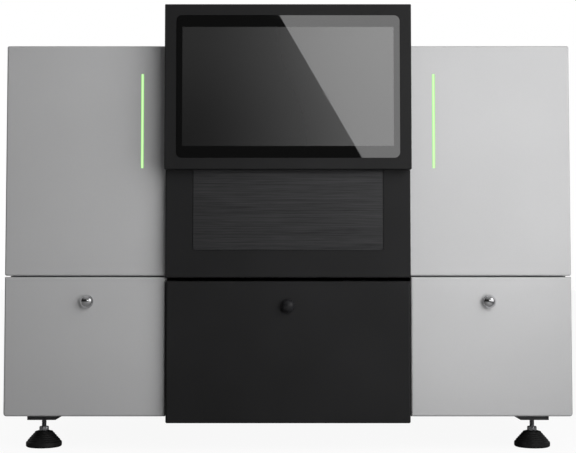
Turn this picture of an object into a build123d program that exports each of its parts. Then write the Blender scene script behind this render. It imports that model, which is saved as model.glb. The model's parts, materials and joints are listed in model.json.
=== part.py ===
from build123d import *
import os
from math import cos, pi, radians, sin

os.makedirs("parts", exist_ok=True)

# Benchtop sequencer, in millimetres. X runs to the viewer's right, Y to the back, Z up.
# The origin is on the bench, under the middle of the whole object.

# Overall size
overall_width = 940.0
overall_depth = 740.0
monitor_top = 734.5
body_top = 673.6          # top of the silver covers
body_bottom = 57.1        # underside of the silver body, carried by the feet
seam_height = 288.0       # middle of the joint between doors and upper covers
seam_gap = 2.0

# How far the black pieces stand in front of the silver, and the fan guards behind it
monitor_proud = 41.0
column_proud = 18.0
centre_door_proud = 15.0
guard_proud = 4.0

# Rear panel openings
vent_length = 46.0
vent_width = 5.0
vent_pitch_x = 60.0
vent_pitch_z = 13.0
vent_columns = 3
vent_rows = 6
vent_z = 415.0
io_width = 120.0
io_height = 44.0
io_rise = 60.0
io_inset = 0.5            # connector face behind the panel's outer face
inlet_hole_gap = 0.4
inlet_flange_lap = 4.0

# Sheet metal and gaps
sheet = 2.0
edge_r = 3.0
seat_gap = 0.3            # gap where one piece rests against another
running_gap = 0.05        # radial gap of a pin in its bore
slide_gap = 0.4           # gap of a slide in its track

half_width = overall_width / 2
front_y = -overall_depth / 2 + monitor_proud
rear_y = overall_depth / 2 - guard_proud

# Base pan and rear panel
pan_t = 3.0
pan_flange_h = 25.0
pan_corner_r = 6.0
panel_t = 3.0
panel_corner_r = 5.0
pan_half_width = half_width - sheet - seat_gap
pan_top = body_bottom + pan_t
panel_front_y = rear_y - panel_t

# Frame posts
post_size = 20.0
post_wall = 2.0
post_corner_r = 3.0
post_inner_gap = 0.5      # beside the centre door
post_setback = 1.0        # behind the pan's front edge

# Column and monitor
column_width = 404.0
column_wall = 3.0
column_edge_r = 2.0
column_drop = 2.0         # its lower edge below the seam
column_y = front_y - column_proud
column_bottom = seam_height - column_drop
monitor_width = 404.0
monitor_height = 271.9
monitor_depth = 21.0
bezel_depth = 12.0
bezel_edge_r = 1.5
bezel_side = 19.0
bezel_rim = 18.55         # above and below the glass
glass_corner_r = 9.0
glass_t = 2.0
glass_inset = 0.5
glass_gap = 0.3
lcd_side = 7.0            # from the glass edge to the display
lcd_rim = 14.4
lcd_t = 7.0
monitor_y = -overall_depth / 2
monitor_bottom = monitor_top - monitor_height
monitor_mid = monitor_top - monitor_height / 2
glass_width = monitor_width - 2 * bezel_side
glass_height = monitor_height - 2 * bezel_rim
lcd_width = glass_width - 2 * lcd_side
lcd_height = glass_height - 2 * lcd_rim

# Doors
door_depth = 22.0
door_side_gap = 1.5
door_corner_r = 5.0
centre_door_inset = 1.0   # narrower than the column on each side
centre_door_gap = 5.7     # under the column
centre_door_drop = 9.5    # below the silver underside
centre_corner_r = 2.5
door_seal_gap = 3.0
inner_plate_t = 2.0
inner_plate_gap = 0.3
inner_field_border = 26.0
inner_field_depth = 4.0
inner_field_r = 10.0
inner_field_draft = 20.0  # degrees
door_x = column_width / 2 + door_side_gap
centre_door_width = column_width - 2 * centre_door_inset
door_top = seam_height - seam_gap / 2
centre_door_top = column_bottom - centre_door_gap
centre_door_bottom = body_bottom - centre_door_drop
centre_door_y = front_y - centre_door_proud

# Knobs
knob_d = 22.5
knob_proud = 14.0
knob_neck_d = 10.0
knob_neck_h = 4.0
knob_spigot_d = 6.0
knob_rim_r = 2.4
side_knob_shift = 4.15    # towards the column from the middle of the door
side_knob_z = 246.5
centre_knob_z = 239.4
side_knob_x = (door_x + half_width) / 2 - side_knob_shift

# Drop-down hinges
hinge_r = 3.25
hinge_pin_r = 2.0
hinge_ear_t = 5.0
knuckle_length = 16.0
hinge_end_gap = 0.5
hinge_inset = 45.0        # hinge centre from the door's side edge
hinge_block_y = 20.0      # how far the block reaches back over the pan
hinge_notch_gap = 1.5
hinge_z = pan_top + hinge_r
hinge_width = knuckle_length + 2 * hinge_end_gap + 2 * hinge_ear_t
side_hinge_y = front_y + door_depth
centre_hinge_y = centre_door_y + door_depth
hinge_sweep_gap = 4.75
pan_front_y = side_hinge_y + hinge_z - body_bottom + hinge_sweep_gap
post_front_y = pan_front_y + post_setback
post_inner_x = door_x + post_inner_gap + post_size / 2

# Deck plate
deck_t = 3.0
deck_top = seam_height + seam_gap / 2 - seat_gap
deck_bottom = deck_top - deck_t

# Upper covers and the strip between them
column_lap = 6.0          # the column over the covers' inner edges
cover_front_flange = 14.0
cover_side_flange = 5.0
lap_width = 20.0
cover_inner_x = column_width / 2 - column_lap
cover_bottom = seam_height + seam_gap / 2
lap_top = body_top - sheet - seat_gap
post_top = lap_top - sheet - seat_gap

# Light bars
light_inset = 41.0        # from the column's side
light_bottom = 468.0
light_top = 626.0
light_width = 4.5
light_flange = 3.0
light_depth = 7.0
light_gap = 0.1
light_x = column_width / 2 + light_inset

# Levelling feet
foot_inset = 55.5
foot_setback = 60.0
foot_bracket_outer = 23.1  # from the stud towards the side of the body
foot_bracket_inner = 32.5
foot_bracket_t = 9.8
foot_bracket_length = 52.0
foot_bracket_chamfer = 8.3
stud_r = 4.0
stud_top = 64.0
stud_hex = 14.5
stud_hex_h = 8.3
stud_base_r = 8.5
stud_base_h = 5.7
pad_r = 30.0
pad_rim_r = 12.75
pad_flat_h = 4.0
pad_skirt_h = 11.6
pad_height = 27.0
pad_socket_depth = 7.0
pad_socket_gap = 0.6
pad_ribs = 5
pad_rib_depth = 0.9
pad_rib_edge = 0.3        # of a rib's height, sloped above and below its band
pad_chamfer = 1.0
pad_groove = 1.2
foot_travel_gap = 2.0     # left above the stud when the foot is screwed right in
foot_x = half_width - foot_inset
foot_front_y = front_y + foot_setback
foot_rear_y = rear_y - foot_setback
foot_lift = 10.0

# Reagent bays
bay_wall = 2.0
bay_post_gap = 1.0
bay_flange = 8.0
bay_corner_r = 8.0
bay_rib_t = 10.0
bay_rib_share = 0.7       # ribs at this share of the half width
bay_deck_gap = 1.0
bay_bottom = stud_top + foot_lift + foot_travel_gap
bay_top = deck_bottom - bay_flange + bay_wall - bay_deck_gap
bay_y = side_hinge_y + door_seal_gap
bay_x0 = post_inner_x + post_size / 2 + bay_post_gap
post_outer_x = pan_half_width - pan_t - seat_gap - post_size / 2
bay_x1 = post_outer_x - post_size / 2 - bay_post_gap
bay_x = (bay_x0 + bay_x1) / 2
bay_half = (bay_x1 - bay_x0) / 2

# Cartridge trays
tray_side_gap = 12.2
tray_front_gap = 24.0
tray_rear_gap = 38.0      # clear of the guide rods
tray_height = 12.0
tray_corner_r = 6.0
tray_peg_r = 3.0
tray_peg_inset = 15.0
tray_width = 2 * (bay_half - bay_wall - tray_side_gap)

# Sipper manifolds
sipper_side_gap = 21.2
sipper_setback = 117.0    # from the bay's open front
sipper_t = 8.0
sipper_rise = 12.0        # below the bay's ceiling
needle_r = 1.5
needle_length = 60.0
needle_pitch = 36.0
needle_margin = 30.0      # from the plate's edges
rod_r = 4.0
rod_side_gap = 37.2
rod_inset = 24.0          # rods in front of the bay's back wall
boss_r = 9.0
boss_h = 22.0
sipper_width = 2 * (bay_half - bay_wall - sipper_side_gap)
rod_spread = 2 * (bay_half - bay_wall - rod_side_gap)

# Waste bay
waste_side_gap = 14.0     # beside the inner posts
waste_lift = 8.0          # above the pan, over the hinge blocks
waste_depth = 165.0
waste_ceiling_drop = 18.0
catch_width = 30.0
catch_h = 8.0
waste_half_width = post_inner_x - post_size / 2 - waste_side_gap

# Nest door
nest_door_width = 313.0
nest_door_height = 151.0
nest_door_bottom = 331.2
nest_door_gap = 0.7
nest_door_inset = 0.5
nest_tongue = 6.5
nest_tongue_t = 2.0
nest_corner_r = 4.0
nest_travel = 130.0
nest_head_gap = 8.0       # slot left above the raised door
track_t = 2.0
track_lip = 6.0

# Nest bay and stage
nest_bay_lap = 6.5        # narrower than the door on each side
nest_bay_floor = 333.0
nest_bay_ceiling = 470.0
nest_bay_corner_r = 6.0
nest_leg_t = 4.0
nest_leg_out = 10.0       # outside the rails
rail_inset = 25.0         # from the side of the stage
rail_width = 12.0
rail_height = 8.0
rail_groove = 1.2
rail_end_gap = 4.0
rail_setback = 12.0       # behind the bay's front flange
stage_side_gap = 15.0
stage_length = 112.0
stage_t = 6.0
stage_travel = 205.0      # from the door to above the objectives
stage_stop_gap = 8.15
shoe_width = 24.0
shoe_length = 30.0
shoe_lift = 2.0
nest_inset = 73.0         # from the side of the stage
nest_width = 92.0
nest_length = 92.0
nest_height = 16.0
nest_window = 40.0
nest_window_length = 28.0
pocket_depth = 6.0
pocket_length = 66.0
pocket_width = 30.0
pocket_shift = 4.0        # towards the lid's tab
pocket_corner_r = 3.0
lid_t = 8.0
lid_margin = 4.0
lid_lug_gap = 1.0
lid_lift = 1.0
lid_setback = 2.0
lid_edge_r = 1.5
lid_window = 34.0
lid_knuckle_r = 4.0
lid_pin_r = 1.5
lid_tab = 6.0
nest_bay_width = nest_door_width - 2 * nest_bay_lap
stage_width = nest_bay_width - 2 * stage_side_gap
rail_x = stage_width / 2 - rail_inset
nest_leg_x = rail_x + nest_leg_out
nest_x = stage_width / 2 - nest_inset

# Optics module
optics_width = 210.0
optics_length = 170.0
optics_height = 150.0
objective_r = 16.0
objective_tip_r = 10.0
objective_gap = 1.5

# Inner modules
pump_width = 120.0
pump_depth = 70.0
pump_height = 150.0
pump_gap = 20.0           # behind the bay liner
syringe_r = 11.0
syringe_h = 50.0
psu_width = 170.0
psu_depth = 200.0
psu_height = 90.0
psu_inset = 170.0         # from the side of the body to its middle
psu_front_gap = 60.0      # behind the pumps
psu_gap = 30.0            # in front of the rear flange
psu_rib_pitch = 20.0
psu_ribs = 7
computer_side_gap = 14.2
computer_shift = 4.2      # towards the column
computer_depth = 230.0
computer_height = 110.0
computer_width = 2 * (bay_half - computer_side_gap)
psu_x = half_width - psu_inset
computer_x = bay_x - computer_shift

# Fans
fan_size = 92.0
fan_depth = 25.0
fan_post_gap = 20.0       # beside the inner rear post
fan_z = 560.0
fan_bore_r = 43.0
hub_r = 16.0
hub_depth = 17.0
blade_count = 7
blade_gap = 2.0
blade_t = 1.6
blade_sink = 1.0          # root inside the hub
blade_pitch_root = 52.0
blade_pitch_tip = 28.0
blade_chord_root = 15.0
blade_chord_tip = 24.0
fan_shaft_r = 2.0
fan_struts = 4
strut_t = 3.0
strut_lap = 2.0           # into the frame and into the motor cup
rotor_gap = 1.0           # between hub and motor cup
hub_edge_r = 2.0
guard_rings = 4
guard_wire = 2.0
fan_x = post_inner_x + post_size / 2 + fan_post_gap + fan_size / 2

# Power inlet and rocker
inlet_inset = 90.0
inlet_z = 150.0
inlet_width = 50.0
inlet_height = 62.0
inlet_flange_t = 2.5
inlet_body_depth = 32.0
socket_width = 28.0
socket_height = 20.0
socket_drop = 13.0
socket_depth = 19.2
contact_width = 2.0
contact_height = 4.0
contact_length = 12.8
contact_spread = 7.0
contact_rise = 4.0        # middle contact above the socket's middle
contact_fall = 2.0        # outer contacts below it
rocker_rise = 15.0
rocker_width = 22.0
rocker_height = 16.0
rocker_tilt = 8.0
rocker_pivot_depth = 7.0
rocker_face = 7.5
rocker_dip = 1.2
rocker_tail = 4.0
rocker_end_gap = 1.4
rocker_taper = 0.7
inlet_x = half_width - inlet_inset


def at_x(x):
    """Side-on sketch plane: sketch X is depth, sketch Y is height, and a positive extrude goes right."""
    return Plane.YZ.offset(x)


def at_y(y):
    """Front-on sketch plane: sketch X is across, sketch Y is height, a positive extrude goes forward."""
    return Plane.XZ.offset(-y)


def at_z(z):
    """Level sketch plane: a positive extrude goes up."""
    return Plane.XY.offset(z)


def side_name(side):
    """The viewer's left is side -1 and the right is side +1."""
    return "left" if side < 0 else "right"


# Places that several pieces share
inside_rear_y = panel_front_y - seat_gap
tongue_front_y = column_y + column_wall + slide_gap
nest_door_y = column_y + nest_door_inset
track_x = nest_door_width / 2 + nest_tongue + slide_gap
track_back_y = tongue_front_y + nest_tongue_t + slide_gap
slot_top = nest_door_bottom + nest_door_height + nest_travel + nest_head_gap
nest_flange_y = track_back_y + track_t + running_gap
rail_front_y = nest_flange_y + sheet + rail_setback
stage_y = rail_front_y + stage_length / 2
optics_mid_y = stage_y + stage_travel
nest_bay_back = optics_mid_y + stage_length / 2 + stage_stop_gap
psu_y = panel_front_y - pan_t - psu_gap - psu_depth / 2
pump_y = psu_y - psu_depth / 2 - psu_front_gap - pump_depth / 2
bay_depth = pump_y - pump_depth / 2 - pump_gap - bay_y
tray_length = bay_depth - bay_wall - tray_front_gap - tray_rear_gap
tray_y = bay_y + tray_front_gap + tray_length / 2
rod_y = bay_y + bay_depth - bay_wall - rod_inset
sipper_rear_y = rod_y + boss_r
sipper_length = sipper_rear_y - bay_y - sipper_setback
inlet_hole_width = inlet_width - 2 * inlet_flange_lap
inlet_hole_height = inlet_height - 2 * inlet_flange_lap
post_places = [
    (side * x, y)
    for side in (-1, 1)
    for x in (post_inner_x, post_outer_x)
    for y in (post_front_y + post_size / 2, panel_front_y - pan_t - 2 * seat_gap - post_size / 2)
]
foot_places = [(side * foot_x, y) for side in (-1, 1) for y in (foot_front_y, foot_rear_y)]

# Base pan: a folded tray, open at the front, with a clearance hole over each foot.
with BuildPart() as base_pan:
    with BuildSketch(at_z(body_bottom)):
        with Locations((0, (pan_front_y + inside_rear_y) / 2)):
            Rectangle(2 * pan_half_width, inside_rear_y - pan_front_y)
    extrude(amount=pan_flange_h)
    fillet(base_pan.edges().filter_by(Axis.Z).group_by(Axis.Y)[-1], pan_corner_r)
    pan_open = [base_pan.faces().sort_by(Axis.Z)[-1], base_pan.faces().sort_by(Axis.Y)[0]]
    offset(amount=-pan_t, openings=pan_open)
    with Locations(*[(x, y, body_bottom) for x, y in foot_places]):
        Hole(stud_r + 2 * seat_gap)
base_pan.part.label = "base_pan"
export_step(base_pan.part, "parts/base_pan.step")

# Frame posts: square tubes from the pan to the strip between the covers.
with BuildPart() as frame_posts:
    with BuildSketch(at_z(pan_top)):
        with Locations(*post_places):
            RectangleRounded(post_size, post_size, post_corner_r)
        with Locations(*post_places):
            Rectangle(post_size - 2 * post_wall, post_size - 2 * post_wall, mode=Mode.SUBTRACT)
    extrude(amount=post_top - pan_top)
frame_posts.part.label = "frame_posts"
export_step(frame_posts.part, "parts/frame_posts.step")

# Deck plate: the shelf between the lower bays and the upper compartments.
with BuildPart() as deck_plate:
    with BuildSketch(at_z(deck_bottom)):
        with Locations((0, (pan_front_y + inside_rear_y) / 2)):
            Rectangle(2 * pan_half_width, inside_rear_y - pan_front_y)
        with Locations(*post_places):
            Rectangle(post_size + 2 * seat_gap, post_size + 2 * seat_gap, mode=Mode.SUBTRACT)
        with Locations((-nest_x, optics_mid_y), (nest_x, optics_mid_y)):
            Circle(objective_r + 2 * seat_gap, mode=Mode.SUBTRACT)
    extrude(amount=deck_t)
deck_plate.part.label = "deck_plate"
export_step(deck_plate.part, "parts/deck_plate.step")

# Rear panel: the whole back, with fan holes, vent slots, and cut-outs for the inlet and the computer.
with BuildPart() as rear_panel:
    with BuildSketch(at_y(panel_front_y)):
        with Locations((0, (body_bottom + body_top) / 2)):
            RectangleRounded(overall_width, body_top - body_bottom, panel_corner_r)
        with Locations((-fan_x, fan_z), (fan_x, fan_z)):
            Circle(fan_bore_r, mode=Mode.SUBTRACT)
        with Locations((-fan_x, vent_z), (fan_x, vent_z)):
            with GridLocations(vent_pitch_x, vent_pitch_z, vent_columns, vent_rows):
                SlotOverall(vent_length, vent_width, mode=Mode.SUBTRACT)
        with Locations((-inlet_x, inlet_z)):
            Rectangle(inlet_hole_width, inlet_hole_height, mode=Mode.SUBTRACT)
        with Locations((computer_x, deck_top + io_rise)):
            Rectangle(io_width + 2 * seat_gap, io_height + 2 * seat_gap, mode=Mode.SUBTRACT)
    extrude(amount=-panel_t)
    fillet(rear_panel.faces().sort_by(Axis.Y)[-1].outer_wire().edges(), panel_t / 3)
rear_panel.part.label = "rear_panel"
export_step(rear_panel.part, "parts/rear_panel.step")

# Upper covers: front, outer side and top folded as one shell, with a flange turned in along the seam.
for side in (-1, 1):
    with BuildPart() as upper_cover:
        with BuildSketch(at_z(cover_bottom)):
            with Locations((side * (cover_inner_x + half_width) / 2, (front_y + inside_rear_y) / 2)):
                Rectangle(half_width - cover_inner_x, inside_rear_y - front_y)
        extrude(amount=body_top - cover_bottom)
        inner_side = upper_cover.faces().sort_by(Axis.X)[0 if side > 0 else -1]
        offset(amount=-sheet, openings=[inner_side, upper_cover.faces().sort_by(Axis.Y)[-1]])
        # The seam flange stays, and the rest of the floor is cut away.
        with BuildSketch(at_z(cover_bottom)):
            with Locations(
                (
                    side * (cover_inner_x + half_width - cover_side_flange) / 2,
                    (front_y + cover_front_flange + panel_front_y) / 2,
                )
            ):
                Rectangle(
                    half_width - cover_inner_x - cover_side_flange,
                    panel_front_y - front_y - cover_front_flange,
                )
        extrude(amount=sheet, mode=Mode.SUBTRACT)
        front = upper_cover.faces().sort_by(Axis.Y)[0]
        outer = upper_cover.faces().sort_by(Axis.X)[-1 if side > 0 else 0]
        inner_x = side * cover_inner_x
        rounded = [
            e
            for e in set(front.edges()) | set(outer.edges())
            if abs(e.center().X - inner_x) > sheet and abs(e.center().Y - inside_rear_y) > sheet
        ]
        fillet(rounded, edge_r)
        # Slot for the light bar
        with BuildSketch(at_y(front_y)):
            with Locations((side * light_x, (light_bottom + light_top) / 2)):
                Rectangle(light_width, light_top - light_bottom)
        extrude(amount=-sheet, mode=Mode.SUBTRACT)
    name = side_name(side) + "_upper_cover"
    upper_cover.part.label = name
    export_step(upper_cover.part, f"parts/{name}.step")

# Light bars: a clear strip flush in its slot, with a flange behind the sheet.
with BuildPart() as light_bars:
    for side in (-1, 1):
        with BuildSketch(at_y(front_y)):
            with Locations((side * light_x, (light_bottom + light_top) / 2)):
                Rectangle(light_width - 2 * light_gap, light_top - light_bottom - 2 * light_gap)
        extrude(amount=-light_depth)
        with BuildSketch(at_y(front_y + sheet)):
            with Locations((side * light_x, (light_bottom + light_top) / 2)):
                Rectangle(light_width + 2 * light_flange, light_top - light_bottom + 2 * light_flange)
        extrude(amount=-sheet)
light_bars.part.label = "light_bars"
export_step(light_bars.part, "parts/light_bars.step")

# Top cover: a strip between the silver covers, lapped under them on both sides.
with BuildPart() as top_cover:
    strip_x = cover_inner_x - seat_gap
    lap_x = cover_inner_x + lap_width
    with BuildSketch(at_y(front_y)):
        with BuildLine():
            Polyline(
                (-strip_x, body_top),
                (strip_x, body_top),
                (strip_x, lap_top),
                (lap_x, lap_top),
                (lap_x, lap_top - sheet),
                (-lap_x, lap_top - sheet),
                (-lap_x, lap_top),
                (-strip_x, lap_top),
                close=True,
            )
        make_face()
    extrude(amount=-(inside_rear_y - front_y))
    # The laps stop behind the front wall of the covers.
    with BuildSketch(at_z(lap_top - sheet)):
        with Locations(
            (-(lap_x + cover_inner_x) / 2, front_y + sheet), ((lap_x + cover_inner_x) / 2, front_y + sheet)
        ):
            Rectangle(lap_width + 2 * seat_gap, 4 * sheet)
    extrude(amount=sheet, mode=Mode.SUBTRACT)
top_cover.part.label = "top_cover"
export_step(top_cover.part, "parts/top_cover.step")

# Side skirts: the outer sides below the seam, with a flange turned in behind the door's edge.
skirt_flange = 12.0
with BuildPart() as side_skirts:
    for side in (-1, 1):
        with BuildSketch(at_z(body_bottom)):
            with Locations((side * (half_width - sheet / 2), (bay_y + inside_rear_y) / 2)):
                Rectangle(sheet, inside_rear_y - bay_y)
            with Locations((side * (half_width - skirt_flange / 2), bay_y + sheet / 2)):
                Rectangle(skirt_flange, sheet)
        extrude(amount=door_top - body_bottom)
    skirt_corners = side_skirts.edges().filter_by(Axis.Z).group_by(Axis.Y)[0]
    fillet([e for e in skirt_corners if abs(e.center().X) > half_width - sheet / 2], sheet / 2)
    # The lower front corners are cut back where the bottom of an opening door swings through.
    relief_h = hinge_z + hinge_notch_gap - body_bottom
    with BuildSketch(at_z(body_bottom)):
        with Locations((0, bay_y)):
            Rectangle(overall_width, 2 * (pan_front_y - bay_y))
    extrude(amount=relief_h, mode=Mode.SUBTRACT)
side_skirts.part.label = "side_skirts"
export_step(side_skirts.part, "parts/side_skirts.step")

# Column fascia: a dished black plate on the covers' front, with a tall slot for the nest door.
with BuildPart() as column_fascia:
    with BuildSketch(at_y(column_y)):
        with Locations((0, (column_bottom + body_top) / 2)):
            Rectangle(column_width, body_top - column_bottom)
    extrude(amount=-column_proud)
    offset(amount=-column_wall, openings=column_fascia.faces().sort_by(Axis.Y)[-1])
    fillet(column_fascia.faces().sort_by(Axis.Y)[0].outer_wire().edges(), column_edge_r)
    with BuildSketch(at_y(column_y)):
        with Locations((0, (nest_door_bottom - nest_door_gap + slot_top) / 2)):
            RectangleRounded(
                nest_door_width + 2 * nest_door_gap,
                slot_top - nest_door_bottom + nest_door_gap,
                nest_corner_r + nest_door_gap,
            )
    extrude(amount=-column_wall, mode=Mode.SUBTRACT)
column_fascia.part.label = "column_fascia"
export_step(column_fascia.part, "parts/column_fascia.step")

# Nest door: a brushed plate nearly flush in the slot, with a tongue on three sides that runs in the tracks.
with BuildPart() as nest_door_plate:
    with BuildSketch(at_y(nest_door_y)):
        with Locations((0, nest_door_bottom + nest_door_height / 2)):
            RectangleRounded(nest_door_width, nest_door_height, nest_corner_r)
    extrude(amount=-(tongue_front_y - nest_door_y))
    fillet(nest_door_plate.faces().sort_by(Axis.Y)[0].edges(), nest_door_inset)
    with BuildSketch(at_y(tongue_front_y)):
        with Locations((0, nest_door_bottom + (nest_door_height - nest_tongue) / 2)):
            Rectangle(nest_door_width + 2 * nest_tongue, nest_door_height + nest_tongue)
    extrude(amount=-nest_tongue_t)
nest_door_plate.part.label = "nest_door_plate"
export_step(nest_door_plate.part, "parts/nest_door_plate.step")

# Nest door tracks: angle strips behind the fascia that trap the tongue.
track_bottom = column_bottom + column_wall + seat_gap
with BuildPart() as nest_door_tracks:
    for side in (-1, 1):
        with BuildSketch(at_z(track_bottom)):
            with BuildLine():
                Polyline(
                    (side * track_x, column_y + column_wall),
                    (side * (track_x + track_t), column_y + column_wall),
                    (side * (track_x + track_t), track_back_y + track_t),
                    (side * (track_x - track_lip), track_back_y + track_t),
                    (side * (track_x - track_lip), track_back_y),
                    (side * track_x, track_back_y),
                    close=True,
                )
            make_face()
        extrude(amount=slot_top - track_bottom)
nest_door_tracks.part.label = "nest_door_tracks"
export_step(nest_door_tracks.part, "parts/nest_door_tracks.step")

# Nest bay liner: a five-walled box behind the nest door, with a header that closes the slot above it.
with BuildPart() as nest_bay_liner:
    with BuildSketch(at_y(nest_flange_y)):
        with Locations((0, (nest_bay_floor + nest_bay_ceiling) / 2)):
            Rectangle(nest_bay_width + 2 * sheet, nest_bay_ceiling - nest_bay_floor + 2 * sheet)
    extrude(amount=-(nest_bay_back - nest_flange_y))
    fillet(nest_bay_liner.edges().filter_by(Axis.Y), nest_bay_corner_r)
    offset(amount=-sheet, openings=nest_bay_liner.faces().sort_by(Axis.Y)[0])
    # Front flange and header
    with BuildSketch(at_y(nest_flange_y)):
        with Locations((0, (nest_door_bottom - nest_tongue + slot_top) / 2)):
            Rectangle(2 * track_x, slot_top - nest_door_bottom + nest_tongue)
        with Locations((0, (nest_bay_floor + nest_bay_ceiling) / 2)):
            RectangleRounded(
                nest_bay_width,
                nest_bay_ceiling - nest_bay_floor,
                nest_bay_corner_r - sheet,
                mode=Mode.SUBTRACT,
            )
    extrude(amount=-sheet)
    # Two ribs carry the floor on the deck plate.
    with BuildSketch(at_z(deck_top)):
        with Locations((0, (pan_front_y + nest_bay_back) / 2)):
            with GridLocations(2 * nest_leg_x, 0, 2, 1):
                Rectangle(nest_leg_t, nest_bay_back - pan_front_y)
    extrude(amount=nest_bay_floor - sheet - deck_top)
    with Locations((-nest_x, optics_mid_y, nest_bay_floor), (nest_x, optics_mid_y, nest_bay_floor)):
        Hole(objective_r + 2 * seat_gap, depth=3 * sheet)
nest_bay_liner.part.label = "nest_bay_liner"
export_step(nest_bay_liner.part, "parts/nest_bay_liner.step")

# Stage rails: two straight guides with an undercut on each flank, screwed to the nest bay floor.
rail_rear_y = nest_bay_back - sheet - rail_end_gap
with BuildPart() as stage_rails:
    for side in (-1, 1):
        with BuildSketch(at_y(rail_front_y)):
            with Locations((side * rail_x, nest_bay_floor + rail_height / 2)):
                Rectangle(rail_width, rail_height)
            for flank in (-1, 1):
                with Locations((side * rail_x + flank * rail_width / 2, nest_bay_floor + rail_height / 2)):
                    Rectangle(2 * rail_groove, 2 * rail_groove, rotation=45, mode=Mode.SUBTRACT)
        extrude(amount=-(rail_rear_y - rail_front_y))
stage_rails.part.label = "stage_rails"
export_step(stage_rails.part, "parts/stage_rails.step")

# Stage carriage: a plate with a light window under each nest, on four shoes that straddle the rails.
stage_bottom = nest_bay_floor + rail_height + seat_gap
with BuildPart() as stage_carriage:
    with BuildSketch(at_z(stage_bottom)):
        with Locations((0, stage_y)):
            RectangleRounded(stage_width, stage_length, pan_corner_r)
        with Locations((-nest_x, stage_y), (nest_x, stage_y)):
            Rectangle(nest_window, nest_window, mode=Mode.SUBTRACT)
    extrude(amount=stage_t)
    shoe_y = (stage_length - shoe_length) / 2
    with BuildSketch(at_z(nest_bay_floor + shoe_lift)):
        with Locations((0, stage_y)):
            with GridLocations(2 * rail_x, 2 * shoe_y, 2, 2):
                Rectangle(shoe_width, shoe_length)
                Rectangle(rail_width + 2 * seat_gap, shoe_length, mode=Mode.SUBTRACT)
    extrude(amount=stage_bottom - nest_bay_floor - shoe_lift)
stage_carriage.part.label = "stage_carriage"
export_step(stage_carriage.part, "parts/stage_carriage.step")

# Flow cell nests: a pocketed block each, with a light window and two lugs for the lid's pins.
stage_top = stage_bottom + stage_t
nest_top = stage_top + nest_height
lid_axis_y = stage_y + nest_length / 2 - lid_knuckle_r
lid_axis_z = nest_top + lid_knuckle_r + lid_lift
lid_width = nest_width - 2 * lid_margin
lug_t = lid_margin - lid_lug_gap
with BuildPart() as flow_cell_nests:
    for side in (-1, 1):
        with BuildSketch(at_z(stage_top)):
            with Locations((side * nest_x, stage_y)):
                RectangleRounded(nest_width, nest_length, pan_corner_r)
                Rectangle(nest_window, nest_window_length, mode=Mode.SUBTRACT)
        extrude(amount=nest_height)
        with BuildSketch(at_z(nest_top - pocket_depth)):
            with Locations((side * nest_x, stage_y - pocket_shift)):
                RectangleRounded(pocket_width, pocket_length, pocket_corner_r)
        extrude(amount=pocket_depth, mode=Mode.SUBTRACT)
        for flank in (-1, 1):
            with BuildSketch(at_x(side * nest_x + flank * (nest_width / 2 - lug_t / 2) - lug_t / 2)):
                with Locations((lid_axis_y, lid_axis_z)):
                    Circle(lid_knuckle_r)
                with Locations((lid_axis_y, (lid_axis_z + nest_top - lid_lift) / 2)):
                    Rectangle(2 * lid_knuckle_r, lid_axis_z - nest_top + lid_lift)
                with Locations((lid_axis_y, lid_axis_z)):
                    Circle(lid_pin_r + running_gap, mode=Mode.SUBTRACT)
            extrude(amount=lug_t)
flow_cell_nests.part.label = "flow_cell_nests"
export_step(flow_cell_nests.part, "parts/flow_cell_nests.step")

# Nest lids: a framed window with a knuckle at the back, pins at both ends of it and a thumb tab in front.
lid_bottom = nest_top + seat_gap
lid_front_y = stage_y - nest_length / 2 + lid_setback
for side in (-1, 1):
    with BuildPart() as nest_lid:
        with BuildSketch(at_z(lid_bottom)):
            with Locations((side * nest_x, (lid_front_y + lid_axis_y) / 2)):
                Rectangle(lid_width, lid_axis_y - lid_front_y)
            with Locations((side * nest_x, stage_y)):
                Rectangle(lid_window, lid_window, mode=Mode.SUBTRACT)
        extrude(amount=lid_t)
        fillet(nest_lid.faces().sort_by(Axis.Z)[-1].outer_wire().edges(), lid_edge_r)
        with BuildSketch(at_z(lid_bottom + lid_t / 2)):
            with Locations((side * nest_x, lid_front_y)):
                SlotOverall(3 * lid_tab, 2 * lid_tab)
        extrude(amount=lid_t / 4)
        knuckle_x = side * nest_x - lid_width / 2
        with BuildSketch(at_x(knuckle_x)):
            with Locations((lid_axis_y, lid_axis_z)):
                Circle(lid_knuckle_r)
        extrude(amount=lid_width)
        with BuildSketch(at_x(side * nest_x - nest_width / 2)):
            with Locations((lid_axis_y, lid_axis_z)):
                Circle(lid_pin_r)
        extrude(amount=nest_width)
    name = side_name(side) + "_nest_lid"
    nest_lid.part.label = name
    export_step(nest_lid.part, f"parts/{name}.step")

# Optics module: a ribbed housing under the deck plate, with one stepped objective barrel per side.
optics_top = deck_bottom
optics_rib_pitch = 24.0
optics_rib_t = 4.0
optics_rib_h = 5.0
optics_ribs = 6
with BuildPart() as optics_module:
    with BuildSketch(at_z(optics_top - optics_height)):
        with Locations((0, optics_mid_y)):
            RectangleRounded(optics_width - 2 * optics_rib_h, optics_length, pan_corner_r)
    extrude(amount=optics_height)
    with BuildSketch(at_z(optics_top - optics_height + optics_rib_pitch / 2)):
        with Locations((0, optics_mid_y)):
            with GridLocations(0, optics_rib_pitch, 1, optics_ribs):
                Rectangle(optics_width, optics_rib_t)
    extrude(amount=optics_height - optics_rib_pitch)
    objective_top = stage_bottom - objective_gap
    for side in (-1, 1):
        with BuildSketch(Plane.XZ.offset(-optics_mid_y)):
            with BuildLine():
                Polyline(
                    (side * nest_x, optics_top),
                    (side * nest_x + objective_r, optics_top),
                    (side * nest_x + objective_r, objective_top - objective_r),
                    (side * nest_x + objective_tip_r, objective_top),
                    (side * nest_x, objective_top),
                    close=True,
                )
            make_face()
        revolve(axis=Axis((side * nest_x, optics_mid_y, 0), (0, 0, 1)))
optics_module.part.label = "optics_module"
export_step(optics_module.part, "parts/optics_module.step")


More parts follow.
